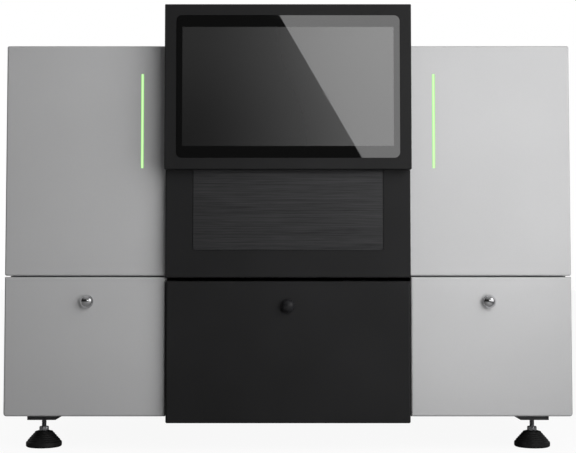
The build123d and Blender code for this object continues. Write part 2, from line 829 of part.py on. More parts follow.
def open_box(x_mid, half_outer, y0, depth, z0, z1):
    """A five-walled box open to the front, with rounded corners, from its outer sizes."""
    with BuildPart() as box:
        with BuildSketch(at_y(y0)):
            with Locations((x_mid, (z0 + z1) / 2)):
                Rectangle(2 * half_outer, z1 - z0)
        extrude(amount=-depth)
        fillet(box.edges().filter_by(Axis.Y), bay_corner_r)
        offset(amount=-bay_wall, openings=box.faces().sort_by(Axis.Y)[0])
    return box.part


# Reagent bay liners: one box behind each side door, with a flange over the posts and ribs underneath.
bay_boxes = [open_box(side * bay_x, bay_half, bay_y, bay_depth, bay_bottom, bay_top) for side in (-1, 1)]
rib_mid_y = (foot_front_y + pad_r + bay_y + bay_depth) / 2
rib_length = bay_y + bay_depth - foot_front_y - pad_r
with BuildPart() as reagent_bay_liners:
    add(bay_boxes)
    for side in (-1, 1):
        with BuildSketch(at_y(bay_y)):
            with Locations((side * bay_x, (bay_bottom + bay_top) / 2)):
                Rectangle(2 * bay_half + 2 * bay_flange, bay_top - bay_bottom + bay_flange)
                RectangleRounded(
                    2 * (bay_half - bay_wall),
                    bay_top - bay_bottom - 2 * bay_wall,
                    bay_corner_r - bay_wall,
                    mode=Mode.SUBTRACT,
                )
        extrude(amount=-bay_wall)
        with BuildSketch(at_z(pan_top)):
            with Locations((side * bay_x, rib_mid_y)):
                with GridLocations(2 * bay_rib_share * bay_half, 0, 2, 1):
                    Rectangle(bay_rib_t, rib_length)
        extrude(amount=bay_bottom - pan_top)
reagent_bay_liners.part.label = "reagent_bay_liners"
export_step(reagent_bay_liners.part, "parts/reagent_bay_liners.step")

# Waste bay liner: the same kind of box behind the centre door.
waste_bottom = pan_top + waste_lift
waste_top = centre_door_top - waste_ceiling_drop
waste_y = centre_hinge_y + door_seal_gap
waste_box = open_box(0, waste_half_width, waste_y, waste_depth, waste_bottom, waste_top)
with BuildPart() as waste_bay_liner:
    add(waste_box)
    with BuildSketch(at_y(waste_y)):
        with Locations((0, waste_top + catch_h / 2 + bay_wall / 2)):
            Rectangle(2 * waste_half_width - 2 * bay_corner_r, catch_h + bay_wall)
    extrude(amount=-bay_wall)
    with BuildSketch(at_z(pan_top)):
        with Locations((0, (pan_front_y + hinge_block_y + waste_y + waste_depth) / 2)):
            with GridLocations(2 * bay_rib_share * waste_half_width, 0, 2, 1):
                Rectangle(bay_rib_t, waste_y + waste_depth - pan_front_y - hinge_block_y)
    extrude(amount=waste_lift)
waste_bay_liner.part.label = "waste_bay_liner"
export_step(waste_bay_liner.part, "parts/waste_bay_liner.step")

# Cartridge trays: a shallow open tray with four locating pegs on each reagent bay floor.
bay_floor = bay_bottom + bay_wall
with BuildPart() as reagent_trays:
    for side in (-1, 1):
        with BuildSketch(at_z(bay_floor)):
            with Locations((side * bay_x, tray_y)):
                RectangleRounded(tray_width, tray_length, tray_corner_r)
        extrude(amount=tray_height)
        with BuildSketch(at_z(bay_floor + bay_wall)):
            with Locations((side * bay_x, tray_y)):
                RectangleRounded(
                    tray_width - 2 * bay_wall, tray_length - 2 * bay_wall, tray_corner_r - bay_wall
                )
        extrude(amount=tray_height - bay_wall, mode=Mode.SUBTRACT)
        with BuildSketch(at_z(bay_floor + bay_wall)):
            with Locations((side * bay_x, tray_y)):
                with GridLocations(tray_width - 2 * tray_peg_inset, tray_length - 2 * tray_peg_inset, 2, 2):
                    Circle(tray_peg_r)
        extrude(amount=tray_height / 2)
reagent_trays.part.label = "reagent_trays"
export_step(reagent_trays.part, "parts/reagent_trays.step")

# Sipper guide rods: two round rods in each reagent bay, floor to ceiling.
bay_ceiling = bay_top - bay_wall
with BuildPart() as sipper_guide_rods:
    with BuildSketch(at_z(bay_floor)):
        with Locations((-bay_x, rod_y), (bay_x, rod_y)):
            with GridLocations(rod_spread, 0, 2, 1):
                Circle(rod_r)
    extrude(amount=bay_ceiling - bay_floor)
sipper_guide_rods.part.label = "sipper_guide_rods"
export_step(sipper_guide_rods.part, "parts/sipper_guide_rods.step")

# Sipper manifolds: a plate of hollow needles that rides on the guide rods in two bosses.
sipper_z = bay_ceiling - sipper_rise - sipper_t
needle_columns = int((sipper_width - 2 * needle_margin) // needle_pitch) + 1
needle_rows = max(1, int((sipper_length - 2 * needle_margin) // needle_pitch) + 1)
for side in (-1, 1):
    with BuildPart() as sipper_manifold:
        with BuildSketch(at_z(sipper_z)):
            with Locations((side * bay_x, sipper_rear_y - sipper_length / 2)):
                RectangleRounded(sipper_width, sipper_length, boss_r)
        extrude(amount=sipper_t)
        with BuildSketch(at_z(sipper_z + sipper_t - boss_h)):
            with Locations((side * bay_x, rod_y)):
                with GridLocations(rod_spread, 0, 2, 1):
                    Circle(boss_r)
        extrude(amount=boss_h - sipper_t)
        with BuildSketch(at_z(sipper_z - needle_length)):
            with Locations((side * bay_x, sipper_rear_y - sipper_length / 2 - boss_r)):
                with GridLocations(needle_pitch, needle_pitch, needle_columns, needle_rows):
                    Circle(needle_r)
        extrude(amount=needle_length)
        with BuildSketch(at_z(sipper_z + sipper_t - boss_h)):
            with Locations((side * bay_x, rod_y)):
                with GridLocations(rod_spread, 0, 2, 1):
                    Circle(rod_r + running_gap)
        extrude(amount=boss_h, mode=Mode.SUBTRACT)
    name = side_name(side) + "_sipper_manifold"
    sipper_manifold.part.label = name
    export_step(sipper_manifold.part, f"parts/{name}.step")


def door_panel(x0, x1, z0, z1, y0, corner_r, corner_xs, knob_x, knob_z, hinge_xs):
    """Outer skin of a door: a dish open to the back, notched at the hinges and bored for the knob."""
    with BuildPart() as panel:
        with BuildSketch(at_y(y0)):
            with Locations(((x0 + x1) / 2, (z0 + z1) / 2)):
                Rectangle(x1 - x0, z1 - z0)
        extrude(amount=-door_depth)
        low_edges = panel.edges().filter_by(Axis.Y).group_by(Axis.Z)[0]
        fillet([e for e in low_edges if any(abs(e.center().X - x) < sheet for x in corner_xs)], corner_r)
        offset(amount=-sheet, openings=panel.faces().sort_by(Axis.Y)[-1])
        fillet(panel.faces().sort_by(Axis.Y)[0].outer_wire().edges(), edge_r)
        with BuildSketch(at_z(z0)):
            with Locations(*[(x, y0 + door_depth) for x in hinge_xs]):
                Rectangle(hinge_width + 2 * hinge_notch_gap, 2 * (hinge_r + hinge_notch_gap))
        extrude(amount=sheet, mode=Mode.SUBTRACT)
        with BuildSketch(at_y(y0)):
            with Locations((knob_x, knob_z)):
                Circle(knob_spigot_d / 2)
        extrude(amount=-sheet, mode=Mode.SUBTRACT)
    return panel.part


def door_liner(x0, x1, z0, z1, hinge_y, corner_r, hinge_xs):
    """Inner plate of a door: a pressed field for stiffness, and knuckles bored for the hinge pins."""
    edge = sheet + inner_plate_gap
    low = max(z0 + edge, hinge_z - hinge_r)
    high = z1 - edge
    field_w = x1 - x0 - 2 * inner_field_border
    field_h = high - low - 2 * inner_field_border
    notch_top = hinge_z + hinge_r + hinge_notch_gap
    with BuildPart() as liner:
        with BuildSketch(at_y(hinge_y - inner_plate_t)):
            with Locations(((x0 + x1) / 2, (low + high) / 2)):
                RectangleRounded(x1 - x0 - 2 * edge, high - low, corner_r - sheet)
        extrude(amount=-inner_plate_t)
        with BuildSketch(at_y(hinge_y - inner_plate_t)):
            with Locations(((x0 + x1) / 2, (low + high) / 2)):
                RectangleRounded(field_w, field_h, inner_field_r)
        extrude(amount=inner_field_depth, taper=inner_field_draft)
        with BuildSketch(at_y(hinge_y)):
            with Locations(((x0 + x1) / 2, (low + high) / 2)):
                RectangleRounded(
                    field_w - 2 * inner_plate_t, field_h - 2 * inner_plate_t, inner_field_r - inner_plate_t
                )
        extrude(amount=inner_field_depth, taper=inner_field_draft, mode=Mode.SUBTRACT)
        # The plate stops above each hinge, and a narrower web carries the knuckle.
        with BuildSketch(at_y(hinge_y - inner_plate_t)):
            with Locations(*[(x, (low + notch_top) / 2) for x in hinge_xs]):
                Rectangle(hinge_width + 2 * hinge_notch_gap, notch_top - low)
        extrude(amount=-inner_plate_t, mode=Mode.SUBTRACT)
        for x in hinge_xs:
            with BuildSketch(at_x(x - knuckle_length / 2)):
                with Locations((hinge_y, hinge_z)):
                    Circle(hinge_r)
                with Locations((hinge_y - inner_plate_t / 2, (hinge_z + notch_top) / 2)):
                    Rectangle(inner_plate_t, notch_top - hinge_z)
                with Locations((hinge_y, hinge_z)):
                    Circle(hinge_pin_r + running_gap, mode=Mode.SUBTRACT)
            extrude(amount=knuckle_length)
    return liner.part


def door_knob(x, z, y0):
    """A mushroom knob: spigot through the skin, neck, and a domed head turned about its own axis."""
    head_r = knob_d / 2
    rim_y = y0 - knob_neck_h
    shoulder_y = rim_y - 2 * knob_rim_r
    tip_y = y0 - knob_proud
    shoulder_x = head_r - knob_rim_r / 3
    dome_h = shoulder_y - tip_y
    dome_r = (shoulder_x**2 + dome_h**2) / (2 * dome_h)
    dome_mid_y = tip_y + dome_r - (dome_r**2 - shoulder_x**2 / 4) ** 0.5
    with BuildPart() as knob:
        with BuildSketch(at_z(z)):
            with BuildLine():
                Polyline(
                    (x, y0 + sheet),
                    (x + knob_spigot_d / 2, y0 + sheet),
                    (x + knob_spigot_d / 2, y0),
                    (x + knob_neck_d / 2, y0),
                    (x + knob_neck_d / 2, rim_y),
                    (x + head_r - knob_rim_r, rim_y),
                )
                ThreePointArc(
                    (x + head_r - knob_rim_r, rim_y),
                    (x + head_r, rim_y - knob_rim_r),
                    (x + shoulder_x, shoulder_y),
                )
                ThreePointArc((x + shoulder_x, shoulder_y), (x + shoulder_x / 2, dome_mid_y), (x, tip_y))
                Line((x, tip_y), (x, y0 + sheet))
            make_face()
        revolve(axis=Axis((x, y0, z), (0, 1, 0)))
    return knob.part


# The three doors: sides, bottom, top, front plane and corner radius of each, and its knob
side_door = (body_bottom, door_top, front_y, door_corner_r)
centre_half = centre_door_width / 2
door_sizes = {
    "left_door": (-half_width, -door_x, *side_door),
    "right_door": (door_x, half_width, *side_door),
    "centre_door": (
        -centre_half, centre_half, centre_door_bottom, centre_door_top, centre_door_y, centre_corner_r
    ),
}
door_knobs = {
    "left_door": (-side_knob_x, side_knob_z),
    "right_door": (side_knob_x, side_knob_z),
    "centre_door": (0, centre_knob_z),
}
hinge_places = []
for name, (x0, x1, z0, z1, y0, corner_r) in door_sizes.items():
    # A side door's inner lower corner stays square beside the centre door.
    corner_xs = [x for x in (x0, x1) if abs(x) != door_x]
    hinge_xs = (x0 + hinge_inset, x1 - hinge_inset)
    knob_x, knob_z = door_knobs[name]
    hinge_places += [(x, y0 + door_depth) for x in hinge_xs]
    door_pieces = {
        "panel": door_panel(x0, x1, z0, z1, y0, corner_r, corner_xs, knob_x, knob_z, hinge_xs),
        "liner": door_liner(x0, x1, z0, z1, y0 + door_depth, corner_r, hinge_xs),
        "knob": door_knob(knob_x, knob_z, y0),
    }
    for piece_name, piece in door_pieces.items():
        piece.label = f"{name}_{piece_name}"
        export_step(piece, f"parts/{name}_{piece_name}.step")

# Hinge brackets: a forked block on the pan's front edge for each hinge, with a rounded nose.
with BuildPart() as hinge_brackets:
    for x, y in hinge_places:
        block_rear_y = pan_front_y + hinge_block_y
        with BuildSketch(at_x(x - hinge_width / 2)):
            with Locations((y, hinge_z)):
                Circle(hinge_r)
            with Locations(((y + block_rear_y) / 2, hinge_z)):
                Rectangle(block_rear_y - y, 2 * hinge_r)
            with Locations((y, hinge_z)):
                Circle(hinge_pin_r, mode=Mode.SUBTRACT)
        extrude(amount=hinge_width)
        with BuildSketch(at_z(pan_top)):
            with Locations((x, y)):
                Rectangle(knuckle_length + 2 * hinge_end_gap, 2 * (hinge_r + hinge_notch_gap))
        extrude(amount=2 * hinge_r, mode=Mode.SUBTRACT)
hinge_brackets.part.label = "hinge_brackets"
export_step(hinge_brackets.part, "parts/hinge_brackets.step")

# Hinge pins: plain steel pins held in the brackets.
with BuildPart() as hinge_pins:
    for x, y in hinge_places:
        with BuildSketch(at_x(x - hinge_width / 2)):
            with Locations((y, hinge_z)):
                Circle(hinge_pin_r)
        extrude(amount=hinge_width)
hinge_pins.part.label = "hinge_pins"
export_step(hinge_pins.part, "parts/hinge_pins.step")

# Door catches: a magnet block above each bay, just behind the door's inner plate.
catch_depth = door_seal_gap - seat_gap
with BuildPart() as door_catches:
    with BuildSketch(at_y(bay_y)):
        with Locations((0, bay_top + bay_flange / 4 - catch_h / 2)):
            with GridLocations(2 * bay_x, 0, 2, 1):
                Rectangle(catch_width, catch_h)
    extrude(amount=catch_depth)
    with BuildSketch(at_y(waste_y)):
        with Locations((0, waste_top + bay_wall + catch_h / 2)):
            Rectangle(catch_width, catch_h)
    extrude(amount=catch_depth)
door_catches.part.label = "door_catches"
export_step(door_catches.part, "parts/door_catches.step")

# Foot brackets: a thick plate under the pan at each foot, bored for the stud, chamfered on its inner end.
with BuildPart() as foot_brackets:
    for x, y in foot_places:
        side = 1 if x > 0 else -1
        inner_x = x - side * foot_bracket_inner
        outer_x = x + side * foot_bracket_outer
        with BuildSketch(at_y(y - foot_bracket_length / 2)):
            with BuildLine():
                Polyline(
                    (inner_x, body_bottom),
                    (outer_x, body_bottom),
                    (outer_x, body_bottom - foot_bracket_t),
                    (inner_x + side * foot_bracket_chamfer, body_bottom - foot_bracket_t),
                    (inner_x, body_bottom - foot_bracket_t + foot_bracket_chamfer),
                    close=True,
                )
            make_face()
        extrude(amount=-foot_bracket_length)
    with Locations(*[(x, y, body_bottom) for x, y in foot_places]):
        Hole(stud_r + running_gap)
foot_brackets.part.label = "foot_brackets"
export_step(foot_brackets.part, "parts/foot_brackets.step")

# Levelling feet: a ribbed rubber pad, and a stud with a hex and a disc that sits in the pad's socket.
foot_names = {(-1, -1): "front_left", (1, -1): "front_right", (-1, 1): "rear_left", (1, 1): "rear_right"}
for x, y in foot_places:
    corner = foot_names[(1 if x > 0 else -1, 1 if y > 0 else -1)]
    with BuildPart() as foot_pad:
        rib_h = (pad_height - pad_skirt_h) / pad_ribs
        rib_step = (pad_r - pad_rim_r) / pad_ribs
        outline = [
            (0, 0),
            (pad_r - pad_chamfer, 0),
            (pad_r, pad_flat_h),
            (pad_r - pad_groove, pad_flat_h + pad_groove),
            (pad_r, pad_flat_h + 2 * pad_groove),
            (pad_r, pad_skirt_h),
        ]
        for i in range(pad_ribs):
            r = pad_r - rib_step * (i + 1)
            z = pad_skirt_h + rib_h * i
            outline.append((r + pad_rib_depth, z + rib_h * pad_rib_edge))
            outline.append((r + pad_rib_depth, z + rib_h * (1 - pad_rib_edge)))
            outline.append((r, z + rib_h))
        outline += [
            (stud_base_r + pad_socket_gap, pad_height),
            (stud_base_r + pad_socket_gap, pad_height - pad_socket_depth),
            (0, pad_height - pad_socket_depth),
        ]
        with BuildSketch(Plane.XZ.offset(-y)):
            with BuildLine():
                Polyline(*[(x + r, z) for r, z in outline], close=True)
            make_face()
        revolve(axis=Axis((x, y, 0), (0, 0, 1)))
    foot_pad.part.label = corner + "_foot_pad"
    export_step(foot_pad.part, f"parts/{corner}_foot_pad.step")
    with BuildPart() as foot_stud:
        base_z = pad_height - pad_socket_depth
        with BuildSketch(at_z(base_z)):
            with Locations((x, y)):
                Circle(stud_base_r)
        extrude(amount=stud_base_h)
        with BuildSketch(at_z(base_z + stud_base_h)):
            with Locations((x, y)):
                RegularPolygon(stud_hex / 2, 6, major_radius=False)
        extrude(amount=stud_hex_h)
        with BuildSketch(at_z(base_z)):
            with Locations((x, y)):
                Circle(stud_r)
        extrude(amount=stud_top - base_z)
        chamfer(foot_stud.faces().sort_by(Axis.Z)[-1].edges(), stud_r / 5)
    foot_stud.part.label = corner + "_foot_stud"
    export_step(foot_stud.part, f"parts/{corner}_foot_stud.step")

# Monitor bezel: a deep frame round the cover glass.
with BuildPart() as monitor_bezel:
    with BuildSketch(at_y(monitor_y)):
        with Locations((0, monitor_mid)):
            Rectangle(monitor_width, monitor_height)
    extrude(amount=-bezel_depth)
    fillet(monitor_bezel.edges().filter_by(Axis.Y), bezel_edge_r)
    fillet(monitor_bezel.faces().sort_by(Axis.Y)[0].edges(), bezel_edge_r)
    with BuildSketch(at_y(monitor_y)):
        with Locations((0, monitor_mid)):
            RectangleRounded(
                glass_width + 2 * glass_gap, glass_height + 2 * glass_gap, glass_corner_r + glass_gap
            )
    extrude(amount=-bezel_depth, mode=Mode.SUBTRACT)
monitor_bezel.part.label = "monitor_bezel"
export_step(monitor_bezel.part, "parts/monitor_bezel.step")

# Screen glass: set just under the bezel's face.
glass_y = monitor_y + glass_inset
with BuildPart() as screen_glass:
    with BuildSketch(at_y(glass_y)):
        with Locations((0, monitor_mid)):
            RectangleRounded(glass_width, glass_height, glass_corner_r)
    extrude(amount=-glass_t)
screen_glass.part.label = "screen_glass"
export_step(screen_glass.part, "parts/screen_glass.step")

# Display panel: the flat screen module bonded to the back of the glass.
with BuildPart() as display_panel:
    with BuildSketch(at_y(glass_y + glass_t)):
        with Locations((0, monitor_mid)):
            RectangleRounded(lcd_width, lcd_height, glass_corner_r / 3)
    extrude(amount=-lcd_t)
display_panel.part.label = "display_panel"
export_step(display_panel.part, "parts/display_panel.step")

# Monitor rear shell: a shallow dish behind the bezel, with a row of vent slots where it clears the column.
shell_y = monitor_y + bezel_depth
shell_depth = monitor_depth - bezel_depth
shell_step = 1.0          # smaller than the bezel all round
shell_vent_h = 16.0
shell_vent_w = 3.0
shell_vent_pitch = 12.0
shell_vents = 16
shell_vent_drop = 26.0
with BuildPart() as monitor_rear_shell:
    with BuildSketch(at_y(shell_y)):
        with Locations((0, monitor_mid)):
            RectangleRounded(monitor_width - 2 * shell_step, monitor_height - 2 * shell_step, edge_r)
    extrude(amount=-shell_depth)
    offset(amount=-sheet, openings=monitor_rear_shell.faces().sort_by(Axis.Y)[0])
    fillet(monitor_rear_shell.faces().sort_by(Axis.Y)[-1].outer_wire().edges(), edge_r)
    with BuildSketch(at_y(shell_y + shell_depth - sheet)):
        with Locations((0, monitor_top - shell_vent_drop)):
            with GridLocations(shell_vent_pitch, 0, shell_vents, 1):
                SlotOverall(shell_vent_h, shell_vent_w, rotation=90)
    extrude(amount=-sheet, mode=Mode.SUBTRACT)
monitor_rear_shell.part.label = "monitor_rear_shell"
export_step(monitor_rear_shell.part, "parts/monitor_rear_shell.step")

# Monitor bracket: a plate shaped like a gate that ties the monitor to the column round the door's slot.
bracket_y = monitor_y + monitor_depth
bracket_t = column_y - bracket_y
bracket_leg = 18.0
bracket_rise = 40.0
bracket_drop = 8.0
bracket_half_width = track_x + track_t + bracket_leg
bracket_bottom = monitor_bottom + bracket_rise
bracket_top = body_top - bracket_drop
with BuildPart() as monitor_bracket:
    with BuildSketch(at_y(bracket_y)):
        with Locations((0, (bracket_bottom + bracket_top) / 2)):
            Rectangle(2 * bracket_half_width, bracket_top - bracket_bottom)
        with Locations((0, (bracket_bottom + slot_top) / 2)):
            Rectangle(2 * (track_x + track_t), slot_top - bracket_bottom, mode=Mode.SUBTRACT)
    extrude(amount=-bracket_t)
monitor_bracket.part.label = "monitor_bracket"
export_step(monitor_bracket.part, "parts/monitor_bracket.step")

# Syringe pumps: a block with two syringe barrels behind each reagent bay, standing on the pan.
with BuildPart() as syringe_pumps:
    for side in (-1, 1):
        with BuildSketch(at_z(pan_top)):
            with Locations((side * bay_x, pump_y)):
                RectangleRounded(pump_width, pump_depth, pan_corner_r)
        extrude(amount=pump_height)
        with BuildSketch(at_z(pan_top + pump_height)):
            with Locations((side * bay_x, pump_y)):
                with GridLocations(pump_width / 2, 0, 2, 1):
                    Circle(syringe_r)
        extrude(amount=syringe_h)
syringe_pumps.part.label = "syringe_pumps"
export_step(syringe_pumps.part, "parts/syringe_pumps.step")

# Power supply: a ribbed case on the pan at the rear left.
with BuildPart() as power_supply:
    with BuildSketch(at_z(pan_top)):
        with Locations((-psu_x, psu_y)):
            Rectangle(psu_width, psu_depth)
    extrude(amount=psu_height)
    with BuildSketch(at_z(pan_top + psu_height - sheet)):
        with Locations((-psu_x, psu_y)):
            with GridLocations(psu_rib_pitch, 0, psu_ribs, 1):
                Rectangle(psu_rib_pitch / 3, psu_depth - 2 * psu_rib_pitch)
    extrude(amount=sheet, mode=Mode.SUBTRACT)
power_supply.part.label = "power_supply"
export_step(power_supply.part, "parts/power_supply.step")

# Computer module: a case on the deck plate whose connector face fills the cut-out in the rear panel.
computer_y = inside_rear_y - computer_depth / 2
with BuildPart() as computer_module:
    with BuildSketch(at_z(deck_top)):
        with Locations((computer_x, computer_y)):
            Rectangle(computer_width, computer_depth)
    extrude(amount=computer_height)
    with BuildSketch(at_y(inside_rear_y)):
        with Locations((computer_x, deck_top + io_rise)):
            Rectangle(io_width, io_height)
    extrude(amount=-(panel_t + seat_gap - io_inset))
computer_module.part.label = "computer_module"
export_step(computer_module.part, "parts/computer_module.step")

# Power inlet: a flanged housing with a three-blade socket below and a window for the rocker above.
socket_z = inlet_z - socket_drop
rocker_z = inlet_z + rocker_rise
with BuildPart() as power_inlet:
    with BuildSketch(at_y(rear_y)):
        with Locations((-inlet_x, inlet_z)):
            RectangleRounded(inlet_width, inlet_height, edge_r)
    extrude(amount=-inlet_flange_t)
    with BuildSketch(at_y(rear_y)):
        with Locations((-inlet_x, inlet_z)):
            Rectangle(inlet_hole_width - 2 * inlet_hole_gap, inlet_hole_height - 2 * inlet_hole_gap)
    extrude(amount=inlet_body_depth)
    # Socket well with the two lower corners cut off, as the plug's shape needs
    with BuildSketch(at_y(rear_y + inlet_flange_t)):
        with Locations((-inlet_x, socket_z)):
            Rectangle(socket_width, socket_height)
        chamfer(vertices().group_by(Axis.Z)[-1], socket_height / 4)
    extrude(amount=socket_depth, mode=Mode.SUBTRACT)
    with BuildSketch(at_y(rear_y + inlet_flange_t)):
        with Locations((-inlet_x, rocker_z)):
            Rectangle(rocker_width + 2 * slide_gap, rocker_height + 2 * slide_gap)
    extrude(amount=socket_depth, mode=Mode.SUBTRACT)
    with BuildSketch(at_y(rear_y + inlet_flange_t - socket_depth)):
        with Locations(
            (-inlet_x, socket_z + contact_rise),
            (-inlet_x - contact_spread, socket_z - contact_fall),
            (-inlet_x + contact_spread, socket_z - contact_fall),
        ):
            Rectangle(contact_width, contact_height)
    extrude(amount=-contact_length)
power_inlet.part.label = "power_inlet"
export_step(power_inlet.part, "parts/power_inlet.step")

# Power rocker: a bow-tie section turned about a pivot across its width, one end pressed in.
rocker_axis_y = rear_y + inlet_flange_t - rocker_pivot_depth
with BuildPart() as power_rocker:
    with BuildSketch(at_x(-inlet_x - rocker_width / 2)):
        with BuildLine():
            half = rocker_height / 2 - rocker_end_gap
            tail_half = half * rocker_taper
            Polyline(
                (rocker_axis_y - rocker_tail, rocker_z - tail_half),
                (rocker_axis_y + rocker_face, rocker_z - half),
                (rocker_axis_y + rocker_face - rocker_dip, rocker_z),
                (rocker_axis_y + rocker_face, rocker_z + half),
                (rocker_axis_y - rocker_tail, rocker_z + tail_half),
                close=True,
            )
        make_face()
    extrude(amount=rocker_width)
tilted = power_rocker.part.rotate(Axis((0, rocker_axis_y, rocker_z), (1, 0, 0)), rocker_tilt)
tilted.label = "power_rocker"
export_step(tilted, "parts/power_rocker.step")

# Fan housings: a square frame with a round bore, and a motor cup on four struts at the inner end.
fan_y = panel_front_y
with BuildPart() as fan_housings:
    for side in (-1, 1):
        with BuildSketch(at_y(fan_y)):
            with Locations((side * fan_x, fan_z)):
                RectangleRounded(fan_size, fan_size, edge_r)
                Circle(fan_bore_r, mode=Mode.SUBTRACT)
        extrude(amount=fan_depth)
        with BuildSketch(at_y(fan_y - fan_depth)):
            with Locations((side * fan_x, fan_z)):
                with PolarLocations((fan_bore_r + hub_r) / 2, fan_struts, start_angle=45):
                    Rectangle(fan_bore_r - hub_r + 2 * strut_lap, strut_t)
                Circle(hub_r)
                Circle(fan_shaft_r + running_gap, mode=Mode.SUBTRACT)
        extrude(amount=-strut_t)
fan_housings.part.label = "fan_housings"
export_step(fan_housings.part, "parts/fan_housings.step")

# Fan rotors: a cup hub with seven blades, each lofted from a steep root to a flat tip, and the shaft.
hub_y = fan_y - fan_depth + strut_t + rotor_gap
blade_mid_y = hub_y + hub_depth / 2
blade_root_r = hub_r - blade_sink
blade_tip_r = fan_bore_r - blade_gap


def blade_plane(centre_x, radius, pitch, turn):
    """Plane square to the blade's span at a radius, with its first direction along the chord."""
    out = Vector(cos(turn), 0, sin(turn))
    around = Vector(-sin(turn), 0, cos(turn))
    chord = around * cos(radians(pitch)) + Vector(0, 1, 0) * sin(radians(pitch))
    origin = Vector(centre_x, blade_mid_y, fan_z) + out * radius
    return Plane(origin=origin, x_dir=chord, z_dir=out)


for side in (-1, 1):
    with BuildPart() as fan_rotor:
        with BuildSketch(at_y(hub_y)):
            with Locations((side * fan_x, fan_z)):
                Circle(hub_r)
        extrude(amount=-hub_depth)
        fillet(fan_rotor.faces().sort_by(Axis.Y)[-1].edges(), hub_edge_r)
        for i in range(blade_count):
            turn = 2 * pi * i / blade_count
            with BuildSketch(blade_plane(side * fan_x, blade_root_r, blade_pitch_root, turn)):
                Rectangle(blade_chord_root, blade_t)
            with BuildSketch(blade_plane(side * fan_x, blade_tip_r, blade_pitch_tip, turn)):
                Rectangle(blade_chord_tip, blade_t)
            loft()
        with BuildSketch(at_y(hub_y)):
            with Locations((side * fan_x, fan_z)):
                Circle(fan_shaft_r)
        extrude(amount=strut_t)
    name = side_name(side) + "_fan_rotor"
    fan_rotor.part.label = name
    export_step(fan_rotor.part, f"parts/{name}.step")

# Fan guards: flat wire rings on a cross of spokes, with an ear at each corner screwed to the panel.
guard_step = (fan_bore_r + guard_wire) / guard_rings
guard_ear_r = 5.0
guard_screw_r = 2.2
guard_arm_lap = 1.0
guard_ear_pitch = (fan_size - 2 * guard_ear_r) / 2
guard_arm = guard_ear_pitch * 2**0.5 - guard_ear_r - guard_step * guard_rings + guard_arm_lap
with BuildPart() as fan_guards:
    for side in (-1, 1):
        with BuildSketch(at_y(rear_y + guard_wire)):
            with Locations((side * fan_x, fan_z)):
                for i in range(guard_rings, 0, -1):
                    Circle(guard_step * i + guard_wire / 2)
                    Circle(guard_step * i - guard_wire / 2, mode=Mode.SUBTRACT)
                for angle in (45, 135):
                    Rectangle(2 * guard_step * guard_rings, guard_wire, rotation=angle)
        extrude(amount=-guard_wire)
        with BuildSketch(at_y(rear_y)):
            with Locations((side * fan_x, fan_z)):
                with GridLocations(2 * guard_ear_pitch, 2 * guard_ear_pitch, 2, 2):
                    Circle(guard_ear_r)
                    Circle(guard_screw_r, mode=Mode.SUBTRACT)
                with PolarLocations(guard_step * guard_rings, 4, start_angle=45):
                    Rectangle(2 * guard_arm, 4 * guard_wire)
        extrude(amount=-guard_proud)
fan_guards.part.label = "fan_guards"
export_step(fan_guards.part, "parts/fan_guards.step")
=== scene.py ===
# %% [markdown]
# A benchtop sequencer, dressed for a studio photograph.
# The engineering model comes in as a fixed frame: folded covers, doors on hinges, a stage, fans and feet,
# each already in its place. This lesson adds what the frame can't hold: the finish of every surface, and
# the small turned, moulded and threaded pieces that catch the light. Sizes are in metres, and every new
# piece takes its place from a box of the frame, so nothing has to be fitted by hand.

# %% Load the frame
import json
import math

import bmesh
import bpy
import numpy as np
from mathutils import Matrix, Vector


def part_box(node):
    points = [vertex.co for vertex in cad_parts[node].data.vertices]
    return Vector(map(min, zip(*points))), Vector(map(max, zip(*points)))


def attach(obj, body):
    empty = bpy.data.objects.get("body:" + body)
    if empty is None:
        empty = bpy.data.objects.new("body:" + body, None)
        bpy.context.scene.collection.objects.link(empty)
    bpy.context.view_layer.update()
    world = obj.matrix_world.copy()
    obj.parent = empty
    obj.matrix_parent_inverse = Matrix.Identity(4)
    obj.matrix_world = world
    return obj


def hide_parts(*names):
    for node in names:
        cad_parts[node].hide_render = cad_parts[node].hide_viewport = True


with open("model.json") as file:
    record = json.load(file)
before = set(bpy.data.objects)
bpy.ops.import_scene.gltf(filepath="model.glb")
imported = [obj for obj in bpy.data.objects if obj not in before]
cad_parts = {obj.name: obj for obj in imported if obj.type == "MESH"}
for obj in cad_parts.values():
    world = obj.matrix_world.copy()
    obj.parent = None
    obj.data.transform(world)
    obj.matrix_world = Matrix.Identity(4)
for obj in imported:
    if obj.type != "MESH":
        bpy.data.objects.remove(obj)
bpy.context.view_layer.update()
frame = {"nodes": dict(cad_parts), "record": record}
MM = 0.001

# %% [markdown]
# Every new surface is a grid of points worked out with whole numpy arrays. Two numbers name a point of the
# grid, a row and a column, and the mesh joins neighbours into quads. A grid that is closed round its
# columns is a tube, and one whose first and last rows shrink to a point is a closed body.

# %% From a grid of points to a mesh
def grid_quads(rows, columns, round_rows, round_columns):
    """Corner numbers of a grid's quads: (i, j), (i+1, j), (i+1, j+1), (i, j+1), wrapped where it closes."""
    index = np.arange(rows * columns).reshape(rows, columns)
    if round_rows:
        index = np.vstack([index, index[:1]])
    if round_columns:
        index = np.hstack([index, index[:, :1]])
    corners = (index[:-1, :-1], index[1:, :-1], index[1:, 1:], index[:-1, 1:])
    return np.stack(corners, axis=-1).reshape(-1, 4)


